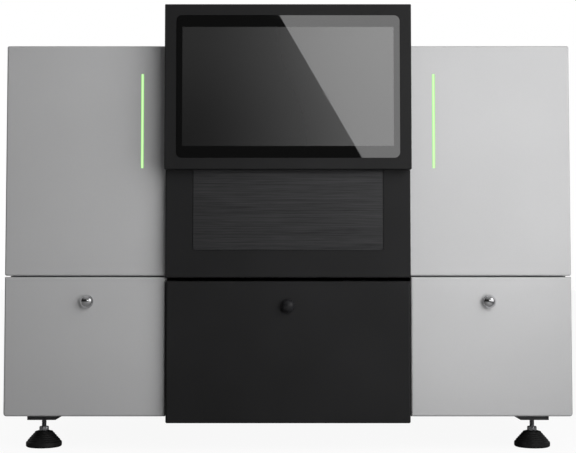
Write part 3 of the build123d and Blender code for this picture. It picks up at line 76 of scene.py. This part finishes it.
def clean_mesh(mesh, crease):
    """Merges doubled points at poles and seams, points faces outwards, and smooths below an angle."""
    edit = bmesh.new()
    edit.from_mesh(mesh)
    bmesh.ops.remove_doubles(edit, verts=edit.verts, dist=2e-6)
    bmesh.ops.dissolve_degenerate(edit, edges=edit.edges, dist=1e-7)
    bmesh.ops.recalc_face_normals(edit, faces=edit.faces)
    edit.to_mesh(mesh)
    edit.free()
    mesh.polygons.foreach_set("use_smooth", np.ones(len(mesh.polygons), bool))
    mesh.set_sharp_from_angle(angle=math.radians(crease))


def make_piece(name, grids, body, slot, round_rows=False, round_columns=True, crease=35):
    """One piece from an array of grids of shape (copies, rows, columns, 3), riding on a body."""
    grids = np.asarray(grids, float)
    grids = grids.reshape(-1, *grids.shape[-3:])
    copies, rows, columns = grids.shape[:3]
    quads = grid_quads(rows, columns, round_rows, round_columns)
    quads = quads[None] + (np.arange(copies) * rows * columns)[:, None, None]
    mesh = bpy.data.meshes.new(name)
    mesh.from_pydata(grids.reshape(-1, 3).tolist(), [], quads.reshape(-1, 4).tolist())
    clean_mesh(mesh, crease)
    piece = bpy.data.objects.new(name, mesh)
    bpy.context.scene.collection.objects.link(piece)
    mesh.materials.append(finishes[slot])
    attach(piece, body)
    print(name, "faces", len(mesh.polygons), "on", body)
    return piece


# %% [markdown]
# Two families of shape cover the small pieces. A turned shape carries a profile of radius and height round
# an axis. A polar shape lets the radius change with the angle too, which makes hexagons and threads.

# %% Turned and polar shapes
UP = np.array([(1, 0, 0), (0, 1, 0), (0, 0, 1)], float)
FRONT = np.array([(1, 0, 0), (0, 0, 1), (0, -1, 0)], float)


def polar(radius, height, centre, axes=UP):
    """Point = centre + r cos(a) u + r sin(a) v + h w, where r is an array of rows by angles."""
    radius = np.asarray(radius, float)
    angle = np.linspace(0, 2 * np.pi, radius.shape[1], endpoint=False)
    flat = np.stack([radius * np.cos(angle), radius * np.sin(angle), np.broadcast_to(
        np.asarray(height, float)[:, None], radius.shape)], axis=-1)
    return flat @ axes + np.asarray(centre, float)


def turned(profile, centre, axes=UP, steps=96):
    """A profile of (radius, height) rows carried round the axis."""
    profile = np.asarray(profile, float)
    return polar(np.repeat(profile[:, :1], steps, axis=1), profile[:, 1], centre, axes)


def arc(centre, radius, start, stop, steps=10):
    """Points centre + radius (cos a, sin a), for a from start to stop in degrees."""
    angle = np.radians(np.linspace(start, stop, steps))
    return np.stack([centre[0] + radius * np.cos(angle), centre[1] + radius * np.sin(angle)], axis=-1)


# %% [markdown]
# A finish is a Principled shader. Values that are the same all over sit on the shader's own sockets, and
# only what really varies, such as the grain, the brushing and the wear, comes through nodes. The patterns
# read Object coordinates in metres, so a scale of 1000 gives grains of about a millimetre.

# %% Building blocks for the finishes
finishes = {}


def node(mat, kind, inputs=None, **settings):
    """Adds a shader node and feeds each input with a value or with another node's output."""
    made = mat.node_tree.nodes.new("ShaderNode" + kind)
    for name, value in settings.items():
        setattr(made, name, value)
    for socket, value in (inputs or {}).items():
        if isinstance(value, bpy.types.NodeSocket):
            mat.node_tree.links.new(value, made.inputs[socket])
        else:
            made.inputs[socket].default_value = value
    return made


def new_finish(slot, **constants):
    """A Principled material: each constant names a socket, with _ for a space."""
    mat = bpy.data.materials.new(slot)
    mat.use_nodes = True
    shader = mat.node_tree.nodes["Principled BSDF"]
    for name, value in constants.items():
        shader.inputs[name.replace("_", " ")].default_value = value
    finishes[slot] = mat
    return mat, shader


def noise(mat, scale, detail=2.0, stretch=(1, 1, 1)):
    """Noise of a size of about 1 / scale metres, drawn out along the axes that have a low stretch."""
    place = node(mat, "TexCoord").outputs["Object"]
    place = node(mat, "Mapping", {"Vector": place, "Scale": stretch}).outputs["Vector"]
    return node(mat, "TexNoise", {"Vector": place, "Scale": scale, "Detail": detail}).outputs["Fac"]


def between(mat, value, low, high, start=0.0, stop=1.0):
    """Maps value, from start to stop, on to low to high, with a smooth step."""
    inputs = {"Value": value, "From Min": start, "From Max": stop, "To Min": low, "To Max": high}
    return node(mat, "MapRange", inputs, interpolation_type="SMOOTHSTEP").outputs["Result"]


def calculate(mat, operation, first, second=0.0):
    """One step of arithmetic on a value."""
    made = node(mat, "Math", operation=operation)
    for socket, value in zip(made.inputs, (first, second)):
        if isinstance(value, bpy.types.NodeSocket):
            mat.node_tree.links.new(value, socket)
        else:
            socket.default_value = value
    return made.outputs["Value"]


def weighted(mat, first, share, second):
    """Mixes two values: share of the first plus the rest of the second."""
    part = calculate(mat, "MULTIPLY", first, share)
    rest = calculate(mat, "MULTIPLY", second, 1 - share)
    return calculate(mat, "ADD", part, rest)


def colours(mat, value, *stops):
    """A colour ramp; each stop is (position, red, green, blue)."""
    ramp = node(mat, "ValToRGB", {"Fac": value})
    elements = ramp.color_ramp.elements
    while len(elements) < len(stops):
        elements.new(0.5)
    for element, (position, *rgb) in zip(elements, stops):
        element.position = position
        element.color = (*rgb, 1.0)
    return ramp.outputs["Color"]


def relief(mat, shader, height, depth, strength=1.0):
    """Bump of a real depth in metres."""
    made = node(mat, "Bump", {"Height": height, "Distance": depth, "Strength": strength})
    mat.node_tree.links.new(made.outputs["Normal"], shader.inputs["Normal"])


def feed(mat, shader, **links):
    """Links outputs to the shader's sockets, with _ for a space."""
    for name, value in links.items():
        mat.node_tree.links.new(value, shader.inputs[name.replace("_", " ")])


# %% [markdown]
# The silver covers are folded sheet with a satin metallic paint. Its look is a mirror so blurred that it
# only shows where the room is bright: the side towards the window is lighter. Fine flakes change the
# tone from grain to grain, and a faint orange peel, some millimetres wide, bends the highlights.

# %% Silver paint
def silver_paint():
    mat, shader = new_finish("silver", Metallic=0.2, Specular_IOR_Level=0.3)
    flakes = noise(mat, 2600, 1.0)
    clouds = noise(mat, 4.0, 3.0)
    peel = noise(mat, 240, 2.0)
    tone = weighted(mat, flakes, 0.6, clouds)
    feed(mat, shader, Base_Color=colours(mat, tone, (0.25, 0.47, 0.47, 0.475), (0.75, 0.56, 0.56, 0.565)))
    feed(mat, shader, Roughness=between(mat, flakes, 0.46, 0.56, 0.3, 0.7))
    relief(mat, shader, weighted(mat, peel, 0.8, flakes), 0.04 * MM)


silver_paint()
print("finishes", list(finishes))

# %% [markdown]
# The column, the centre door and the monitor are black, but not the same black. The sheet metal has a
# powder coat, which is matt with a fine pebbled skin. The monitor's frame is moulded plastic with a
# spark-eroded grain. The door in the column is aluminium, brushed from side to side and dyed dark: the
# noise is drawn out a few hundred times along X, which gives brush lines.

# %% Black finishes
def powder_coat(slot, tone, roughness):
    mat, shader = new_finish(slot, Specular_IOR_Level=0.2)
    pebbles = noise(mat, 1500, 2.0)
    clouds = noise(mat, 6.0, 2.0)
    feed(mat, shader, Base_Color=colours(
        mat, clouds, (0.3, tone, tone, tone * 1.03), (0.7, tone * 1.3, tone * 1.3, tone * 1.35)))
    feed(mat, shader, Roughness=between(mat, pebbles, roughness - 0.06, roughness + 0.08, 0.3, 0.7))
    relief(mat, shader, pebbles, 0.05 * MM)


def moulded_plastic(slot, tone, roughness, grain=2400, depth=0.03 * MM):
    mat, shader = new_finish(slot, Specular_IOR_Level=0.3)
    skin = noise(mat, grain, 1.0)
    flow = noise(mat, 9.0, 2.0, (1, 1, 0.3))
    low = tuple(0.9 * c for c in tone)
    high = tuple(1.15 * c for c in tone)
    feed(mat, shader, Base_Color=colours(mat, flow, (0.3, *low), (0.7, *high)))
    feed(mat, shader, Roughness=between(mat, skin, roughness - 0.05, roughness + 0.06, 0.3, 0.7))
    relief(mat, shader, skin, depth)


def brushed_dark():
    mat, shader = new_finish("brushed_dark", Metallic=0.85, Anisotropic=0.5)
    lines = noise(mat, 1.0, 3.0, (6, 1500, 1500))
    hairs = noise(mat, 1.0, 2.0, (25, 4200, 4200))
    both = weighted(mat, lines, 0.5, hairs)
    feed(mat, shader, Base_Color=colours(mat, both, (0.35, 0.04, 0.04, 0.042), (0.65, 0.11, 0.11, 0.113)))
    feed(mat, shader, Roughness=between(mat, both, 0.30, 0.44, 0.35, 0.65))
    tangent = node(mat, "Tangent", direction_type="RADIAL", axis="Z").outputs["Tangent"]
    feed(mat, shader, Tangent=tangent)
    relief(mat, shader, both, 0.03 * MM)


powder_coat("black_paint", 0.0105, 0.55)
moulded_plastic("black_plastic", (0.010, 0.010, 0.0103), 0.5)
moulded_plastic("black_knob", (0.012, 0.012, 0.013), 0.28, 900, 0.01 * MM)
brushed_dark()
print("finishes", list(finishes))

# %% [markdown]
# The screen is one sheet of glass. Its border is printed black from behind, and the lit area inside it is
# a dark grey film with a painted reflection: its tone rises a little towards the upper right corner, next
# to the glare. The glare across it isn't painted: it is the mirror image of a bright panel in the studio,
# so it moves when the camera does. The light bars glow on their own, whiter along the middle than at the
# edges.

# %% Screen and light bars
def screen():
    low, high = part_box("display_panel")
    mat, shader = new_finish("screen", Specular_IOR_Level=0.0, Coat_Weight=1.0, Coat_IOR=2.2)
    place = node(mat, "SeparateXYZ", {"Vector": node(mat, "TexCoord").outputs["Object"]})
    side, up = place.outputs["X"], place.outputs["Z"]
    border_x, border_z = 3 * MM, 5 * MM
    half_x, half_z = (high.x - low.x) / 2 - border_x, (high.z - low.z) / 2 - border_z
    middle_z = (high.z + low.z) / 2
    out_x = calculate(mat, "SUBTRACT", calculate(mat, "ABSOLUTE", side), half_x)
    from_middle = calculate(mat, "ABSOLUTE", calculate(mat, "SUBTRACT", up, middle_z))
    out_z = calculate(mat, "SUBTRACT", from_middle, half_z)
    soft_edge = 0.6 * MM
    lit = between(mat, calculate(mat, "MAXIMUM", out_x, out_z), 1.0, 0.0, -soft_edge, soft_edge)
    # Painted reflection: the film's dark grey tone brightens towards the upper right corner, next to the
    # glare.
    across = between(mat, side, 0.0, 1.0, -half_x, half_x)
    rise = between(mat, up, 0.0, 1.0, middle_z - half_z, middle_z + half_z)
    painted_reflection_slope = weighted(mat, across, 0.82, rise)
    film_and_painted_reflection = colours(mat, painted_reflection_slope, (0.0, 0.014, 0.014, 0.014),
                   (0.5, 0.052, 0.052, 0.052), (1.0, 0.11, 0.11, 0.11))
    mixed = node(mat, "MixRGB", {"Fac": lit, "Color1": (0.002, 0.002, 0.002, 1), "Color2": film_and_painted_reflection})
    feed(mat, shader, Base_Color=mixed.outputs["Color"])
    smears = noise(mat, 30, 3.0)
    feed(mat, shader, Coat_Roughness=between(mat, smears, 0.01, 0.03, 0.45, 0.75))


def light_green():
    outer_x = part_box("light_bars")[1].x
    flange, bar_half = 3 * MM, 2.25 * MM
    mat, shader = new_finish("light_green", Roughness=0.4, Emission_Strength=1.0)
    place = node(mat, "SeparateXYZ", {"Vector": node(mat, "TexCoord").outputs["Object"]})
    either_side = calculate(mat, "ABSOLUTE", place.outputs["X"])
    off = calculate(mat, "SUBTRACT", either_side, outer_x - flange - bar_half)
    glow = colours(mat, between(mat, calculate(mat, "ABSOLUTE", off), 0.0, 1.0, 0.0, 2.4 * MM),
                   (0.0, 0.72, 1.0, 0.55), (0.6, 0.50, 0.95, 0.34), (1.0, 0.27, 0.8, 0.17))
    feed(mat, shader, Emission_Color=glow)
    shader.inputs["Base Color"].default_value = (0.05, 0.12, 0.03, 1)


def display():
    mat, shader = new_finish("display", Roughness=0.35)
    rows = noise(mat, 1.0, 0.0, (20, 20, 2000))
    feed(mat, shader, Base_Color=colours(mat, rows, (0.4, 0.012, 0.012, 0.014), (0.6, 0.02, 0.02, 0.023)))


screen()
light_green()
display()
print("finishes", list(finishes))

# %% [markdown]
# Metals next. Polished metal is nearly a mirror, with hairline polishing marks in its roughness. Plated
# steel has the soft spangle of zinc. Milled aluminium keeps the cutter's lines, and the dyed aluminium of
# the optics is the same metal in black. Frame steel is a plain dark paint.

# %% Metals
def polished():
    mat, shader = new_finish("polished", Metallic=1.0)
    marks = noise(mat, 1.0, 2.0, (900, 900, 5000))
    feed(mat, shader, Base_Color=colours(mat, marks, (0.3, 0.70, 0.70, 0.71), (0.7, 0.80, 0.80, 0.81)))
    feed(mat, shader, Roughness=between(mat, marks, 0.05, 0.12, 0.3, 0.7))


def plated_steel():
    mat, shader = new_finish("plated_steel", Metallic=1.0)
    spangle = noise(mat, 350, 3.0)
    fine = noise(mat, 3000, 1.0)
    feed(mat, shader, Base_Color=colours(mat, spangle, (0.3, 0.42, 0.43, 0.45), (0.7, 0.62, 0.62, 0.63)))
    feed(mat, shader, Roughness=between(mat, spangle, 0.22, 0.38, 0.3, 0.7))
    relief(mat, shader, fine, 0.01 * MM)


def milled(slot, dark, light, low, high):
    mat, shader = new_finish(slot, Metallic=1.0)
    cuts = noise(mat, 1.0, 2.0, (30, 1800, 1800))
    stains = noise(mat, 14, 2.0)
    tone = weighted(mat, cuts, 0.7, stains)
    feed(mat, shader, Base_Color=colours(mat, tone, (0.35, *dark), (0.65, *light)))
    feed(mat, shader, Roughness=between(mat, cuts, low, high, 0.3, 0.7))
    relief(mat, shader, cuts, 0.02 * MM)


polished()
plated_steel()
milled("machined", (0.50, 0.50, 0.51), (0.66, 0.66, 0.67), 0.28, 0.42)
milled("anodised_black", (0.018, 0.018, 0.020), (0.034, 0.034, 0.037), 0.35, 0.5)
powder_coat("frame_steel", 0.06, 0.5)
print("finishes", list(finishes))

# %% [markdown]
# The bays are lined in grey plastic that is wiped clean every day, so their gloss is uneven. The feet are
# rubber: dull, a little dusty in patches, and never quite black.

# %% Plastic and rubber
def rubber():
    mat, shader = new_finish("rubber", Specular_IOR_Level=0.35)
    skin = noise(mat, 700, 3.0)
    dust = noise(mat, 60, 3.0)
    feed(mat, shader, Base_Color=colours(
        mat, dust, (0.35, 0.006, 0.006, 0.006), (0.8, 0.018, 0.0175, 0.017)))
    feed(mat, shader, Roughness=between(mat, skin, 0.5, 0.75, 0.3, 0.7))
    relief(mat, shader, skin, 0.06 * MM)


moulded_plastic("bay_grey", (0.25, 0.26, 0.27), 0.4, 1100, 0.02 * MM)
rubber()
print("finishes", list(finishes))

# %% [markdown]
# The record of the frame says which finish each node has, so one loop dresses them all.

# %% Dress the frame's own nodes
slot_of = {part["node"]: part["material_slot"] for part in frame["record"]["subparts"]}
for name, cad_object in frame["nodes"].items():
    for material_slot in cad_object.material_slots:
        material_slot.material = finishes[slot_of[name]]
print("dressed", len(slot_of), "nodes with", len(set(slot_of.values())), "finishes")

# %% [markdown]
# The knobs are turned on a lathe: a thin neck, a rounded rim and a shallow dome. A dome that mirrors the
# studio shows every facet, so it is made from a fine grid instead of the frame's coarse one.

# %% Door knobs
def knob_profile(head_r, height, neck_r, neck_h, spigot):
    """Neck, underside, rim as an arc of more than a quarter turn, and a dome as an arc about the axis."""
    rim_r = 0.21 * head_r
    rim = arc((head_r - rim_r, neck_h + rim_r), rim_r, -90, 60)
    edge_r, edge_h = rim[-1]
    rise = height - edge_h
    dome_r = (edge_r**2 + rise**2) / (2 * rise)
    reach = np.degrees(np.arcsin(edge_r / dome_r))
    dome = arc((0, height - dome_r), dome_r, 90 - reach, 90, 24)
    spigot_r, waist_r = 0.6 * neck_r, 0.92 * neck_r
    foot = [(0, -spigot), (spigot_r, -spigot), (spigot_r, 0), (neck_r, 0), (waist_r, neck_h / 2)]
    return np.vstack([foot, [(neck_r, neck_h)], rim, dome])


NECK_R, NECK_H = 5 * MM, 4 * MM
for door, slot in (("left_door", "polished"), ("right_door", "polished"), ("centre_door", "black_knob")):
    low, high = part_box(door + "_knob")
    front_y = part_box(door + "_panel")[0].y
    centre = ((low.x + high.x) / 2, front_y, (low.z + high.z) / 2)
    profile = knob_profile((high.x - low.x) / 2, front_y - low.y, NECK_R, NECK_H, high.y - front_y)
    knob = make_piece(door + "_turned_knob", turned(profile, centre, FRONT), door, slot, crease=40)
    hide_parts(door + "_knob")

# %% [markdown]
# Each levelling foot is a rubber pad moulded round a plated stud. The pad has a rounded disc below and a
# cone of rings above. The stud carries a thread, which is a triangle wave that climbs one pitch for each
# turn, and a hexagon for the spanner: its radius is the flat's distance divided by the cosine of the angle
# from the nearest flat.

# %% Levelling feet
PITCH, THREAD_R, THREAD_DEPTH = 1.25 * MM, 4 * MM, 0.55 * MM
SOCKET_R = 9.1 * MM
COLLAR_R, COLLAR_H = 8.5 * MM, 5.7 * MM
HEX_FLAT, HEX_H = 14.5 * MM, 8.3 * MM


def pad_profile(radius, top, socket_r, socket_h):
    """Flat bottom, rounded disc, a groove, then rings on a cone, each ring a raised half sine."""
    disc_h, cone_h, rings, ring_depth = 9.5 * MM, 12 * MM, 5, 1.1 * MM
    top_r = 13 * MM
    lower = arc((radius - 3 * MM, 3 * MM), 3 * MM, -90, 0, 8)
    upper = arc((radius - 2.6 * MM, disc_h - 2.6 * MM), 2.6 * MM, 0, 80, 8)
    share = np.linspace(0, 1, 12 * rings + 1)
    cone_r = (radius - 2.8 * MM) + (top_r - radius + 2.8 * MM) * share
    height = cone_h - 2 * MM + (top - cone_h + 1 * MM) * share
    wave = np.abs(np.sin(np.pi * rings * share)) ** 0.7 * ring_depth
    cone = np.column_stack([cone_r + 0.6 * wave, height + 0.8 * wave])
    floor_h = top - socket_h
    inner = [(socket_r + 1.5 * MM, top), (socket_r, top - 1 * MM), (socket_r, floor_h), (0, floor_h)]
    return np.vstack([[(0, 0)], lower, upper, cone, inner])


def stud_rows(base_z, top_z, steps=72):
    """Radius by height and angle: a collar, a chamfered hexagon, and a thread.

    The thread's radius is the outer radius less depth times a triangle wave of height / pitch - turns.
    """
    angle = np.linspace(0, 2 * np.pi, steps, endpoint=False)
    hexagon = HEX_FLAT / 2 / np.cos((angle + np.pi / 6) % (np.pi / 3) - np.pi / 6)
    cap_r, cap, edge, tip_h = HEX_FLAT / 2 * 1.02, 0.9 * MM, 0.6 * MM, 1 * MM
    hex_z = base_z + COLLAR_H
    hex_top = hex_z + HEX_H
    thread_z = np.arange(hex_top, top_z - tip_h, PITCH / 8)
    phase = (thread_z[:, None] / PITCH - angle / (2 * np.pi)) % 1.0
    tooth = 1 - np.abs(2 * phase - 1)
    fade = np.clip((thread_z - thread_z[0]) / PITCH, 0, 1)[:, None]
    thread = THREAD_R - THREAD_DEPTH * tooth * fade
    ring = np.ones(steps)
    rows = [0 * ring, (COLLAR_R - edge) * ring, COLLAR_R * ring, COLLAR_R * ring, (COLLAR_R - edge) * ring,
            np.minimum(hexagon, cap_r), hexagon, hexagon, np.minimum(hexagon, cap_r), THREAD_R * ring]
    heights = [base_z, base_z, base_z + edge, hex_z - edge, hex_z,
               hex_z, hex_z + cap, hex_top - cap, hex_top, hex_top]
    tip = [(THREAD_R - tip_h) * ring, 0 * ring]
    return np.vstack([rows, thread, tip]), np.concatenate([heights, thread_z, [top_z, top_z]])


for corner in ("front_left", "front_right", "rear_left", "rear_right"):
    body = corner + "_foot"
    low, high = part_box(body + "_pad")
    stud_low, stud_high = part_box(body + "_stud")
    centre = ((low.x + high.x) / 2, (low.y + high.y) / 2, 0)
    pad = pad_profile((high.x - low.x) / 2, high.z, SOCKET_R, high.z - stud_low.z)
    pad_piece = make_piece(body + "_ribbed_pad", turned(pad, centre), body, "rubber", crease=50)
    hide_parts(body + "_pad")
    radius, height = stud_rows(stud_low.z, stud_high.z)
    stud_piece = make_piece(body + "_threaded_stud", polar(radius, height, centre), body, "plated_steel")
    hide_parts(body + "_stud")

# %% [markdown]
# The studio has a pale floor and no visible walls: what the camera sees beyond the floor is plain white.
# One wide softbox stands on the right. It's so wide that the column throws no hard shadow on the left
# cover, only a dark band that fades out over some centimetres. It lights the matt part of every surface,
# and a second lamp, the window, is only there to be mirrored, in the knobs above all. The room in front
# is left dark, because black paint and glass mirror it, and the room behind is brighter, for the sides.

# %% Floor, world and softbox
SOFTBOX_POWER, WINDOW_POWER = 21.5, 11.0


def floor_finish():
    """White for the camera, less a share of the real shading, which keeps the shadow; dull for the rest."""
    mat = bpy.data.materials.new("pale_floor")
    mat.use_nodes = True
    shader = mat.node_tree.nodes["Principled BSDF"]
    shader.inputs["Roughness"].default_value = 0.9
    seen = node(mat, "LightPath").outputs["Is Camera Ray"]
    tone = node(mat, "MixRGB", {"Fac": seen, "Color1": (0.3, 0.3, 0.3, 1), "Color2": (0.95, 0.95, 0.95, 1)})
    feed(mat, shader, Base_Color=tone.outputs["Color"])
    glow = node(mat, "Emission", {"Strength": 1.0})
    share = calculate(mat, "MULTIPLY", seen, 0.93)
    mixed = node(mat, "MixShader", {"Fac": share, 1: shader.outputs[0], 2: glow.outputs[0]})
    output = mat.node_tree.nodes["Material Output"]
    mat.node_tree.links.new(mixed.outputs[0], output.inputs["Surface"])
    return mat


reach = 40.0    # far enough for its edge to meet the white horizon
floor_mesh = bpy.data.meshes.new("floor")
floor_mesh.from_pydata([(-reach, -reach, 0), (reach, -reach, 0), (reach, reach, 0), (-reach, reach, 0)], [],
                       [(0, 1, 2, 3)])
floor_mesh.materials.append(floor_finish())
floor = bpy.data.objects.new("floor", floor_mesh)
bpy.context.scene.collection.objects.link(floor)


def sky():
    """White to the camera; for light, nearly dark in front, brighter behind and overhead."""
    world = bpy.data.worlds.new("studio")
    bpy.context.scene.world = world
    world.use_nodes = True
    direction = node(world, "SeparateXYZ", {"Vector": node(world, "TexCoord").outputs["Generated"]})
    behind = between(world, direction.outputs["Y"], 0.0, 0.55, -0.15, 0.7)
    above = between(world, direction.outputs["Z"], 0.0, 0.30, 0.35, 1.0)
    level = calculate(world, "ADD", calculate(world, "ADD", behind, above), 0.02)
    rays = node(world, "LightPath")
    inputs = {"Value": rays.outputs["Is Camera Ray"], "To Min": level, "To Max": 1.0}
    strength = node(world, "MapRange", inputs).outputs["Result"]
    background = world.node_tree.nodes["Background"]
    background.inputs["Color"].default_value = (1, 1, 1, 1)
    world.node_tree.links.new(strength, background.inputs["Strength"])


def area_light(name, place, aim, width, height, power, mirrored_only):
    """A soft lamp that faces the aim; it either lights the matt part of a surface or the mirroring part."""
    data = bpy.data.lights.new(name, "AREA")
    data.shape, data.size, data.size_y, data.energy = "RECTANGLE", width, height, power
    lamp = bpy.data.objects.new(name, data)
    bpy.context.scene.collection.objects.link(lamp)
    lamp.location = place
    lamp.visible_camera = False
    lamp.visible_diffuse = not mirrored_only
    lamp.visible_glossy = mirrored_only
    lamp.rotation_euler = (Vector(aim) - Vector(place)).to_track_quat("-Z", "Y").to_euler()


sky()
area_light("softbox", (0.445, -1.36, 0.69), (-0.485, -1.0, 0.757), 1.56, 1.3, SOFTBOX_POWER, False)
area_light("window", (1.7, -1.45, 1.1), (0.1, -0.3, 0.35), 1.6, 1.8, WINDOW_POWER, True)
print("floor, world and two lamps")

# %% [markdown]
# The camera stands almost two metres in front of the covers, low over the bench, and looks up a little.
# A long lens keeps the verticals nearly straight. The bright panel that the screen mirrors is behind it.
# To find its place, the camera is reflected in the glass: a straight line from that mirror image through
# a point of the glass meets the panel where that point's reflection comes from.

# %% Camera and the panel that the screen mirrors
FOCAL_PX, FRAME_W, FRAME_H = 1150.0, 576.0, 453.0
CAMERA_Y, CAMERA_Z, PITCH_UP = -2.238, 0.2784, math.radians(2.77)
camera_data = bpy.data.cameras.new("camera")
camera_data.sensor_width = 36.0
camera_data.lens = FOCAL_PX / FRAME_W * camera_data.sensor_width
camera = bpy.data.objects.new("camera", camera_data)
bpy.context.scene.collection.objects.link(camera)
camera.location = (0, CAMERA_Y, CAMERA_Z)
camera.rotation_euler = (math.pi / 2 + PITCH_UP, 0, 0)
bpy.context.scene.camera = camera

GLASS_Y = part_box("screen_glass")[0].y
PANEL_Y = -3.6
GLARE_TOP, GLARE_BOTTOM = (279.5, 15.5), (362.5, 158.0)


def on_glass(px, py):
    """Where a pixel of the photograph falls on the glass: (x, z) in metres."""
    across = (px - FRAME_W / 2) / FOCAL_PX
    rise = math.tan(math.atan((FRAME_H / 2 - py) / FOCAL_PX) + PITCH_UP)
    return np.array([across * (GLASS_Y - CAMERA_Y), CAMERA_Z + rise * (GLASS_Y - CAMERA_Y)])


def mirrored(point):
    """Where the reflection seen at a point of the glass comes from, on the plane of the panel."""
    mirror_y = 2 * GLASS_Y - CAMERA_Y
    share = (mirror_y - PANEL_Y) / (mirror_y - GLASS_Y)
    return np.array([point[0] * share, CAMERA_Z + (point[1] - CAMERA_Z) * share])


top, bottom = mirrored(on_glass(*GLARE_TOP)), mirrored(on_glass(*GLARE_BOTTOM))
edge = (top - bottom) / np.linalg.norm(top - bottom)
upper, lower = top + 0.5 * edge, bottom - 0.25 * edge
panel_right = lower[0] + 1.6
corners = [lower, (panel_right, lower[1]), (panel_right, upper[1]), upper]
panel_mesh = bpy.data.meshes.new("glare_panel")
panel_mesh.from_pydata([(x, PANEL_Y, z) for x, z in corners], [], [(0, 1, 2, 3)])
panel_finish = bpy.data.materials.new("glare_panel")
panel_finish.use_nodes = True
panel_shader = panel_finish.node_tree.nodes["Principled BSDF"]
panel_shader.inputs["Emission Color"].default_value = (1, 1, 1, 1)
panel_shader.inputs["Emission Strength"].default_value = 0.85
panel_mesh.materials.append(panel_finish)
panel = bpy.data.objects.new("glare_panel", panel_mesh)
bpy.context.scene.collection.objects.link(panel)
panel.visible_diffuse = False
panel.visible_camera = False
print("camera lens", round(camera_data.lens, 2), "panel edge", np.round(lower, 3), np.round(upper, 3))

# %% [markdown]
# The picture uses the plain Standard view.

# %% Colour view
bpy.context.scene.view_settings.view_transform = "Standard"
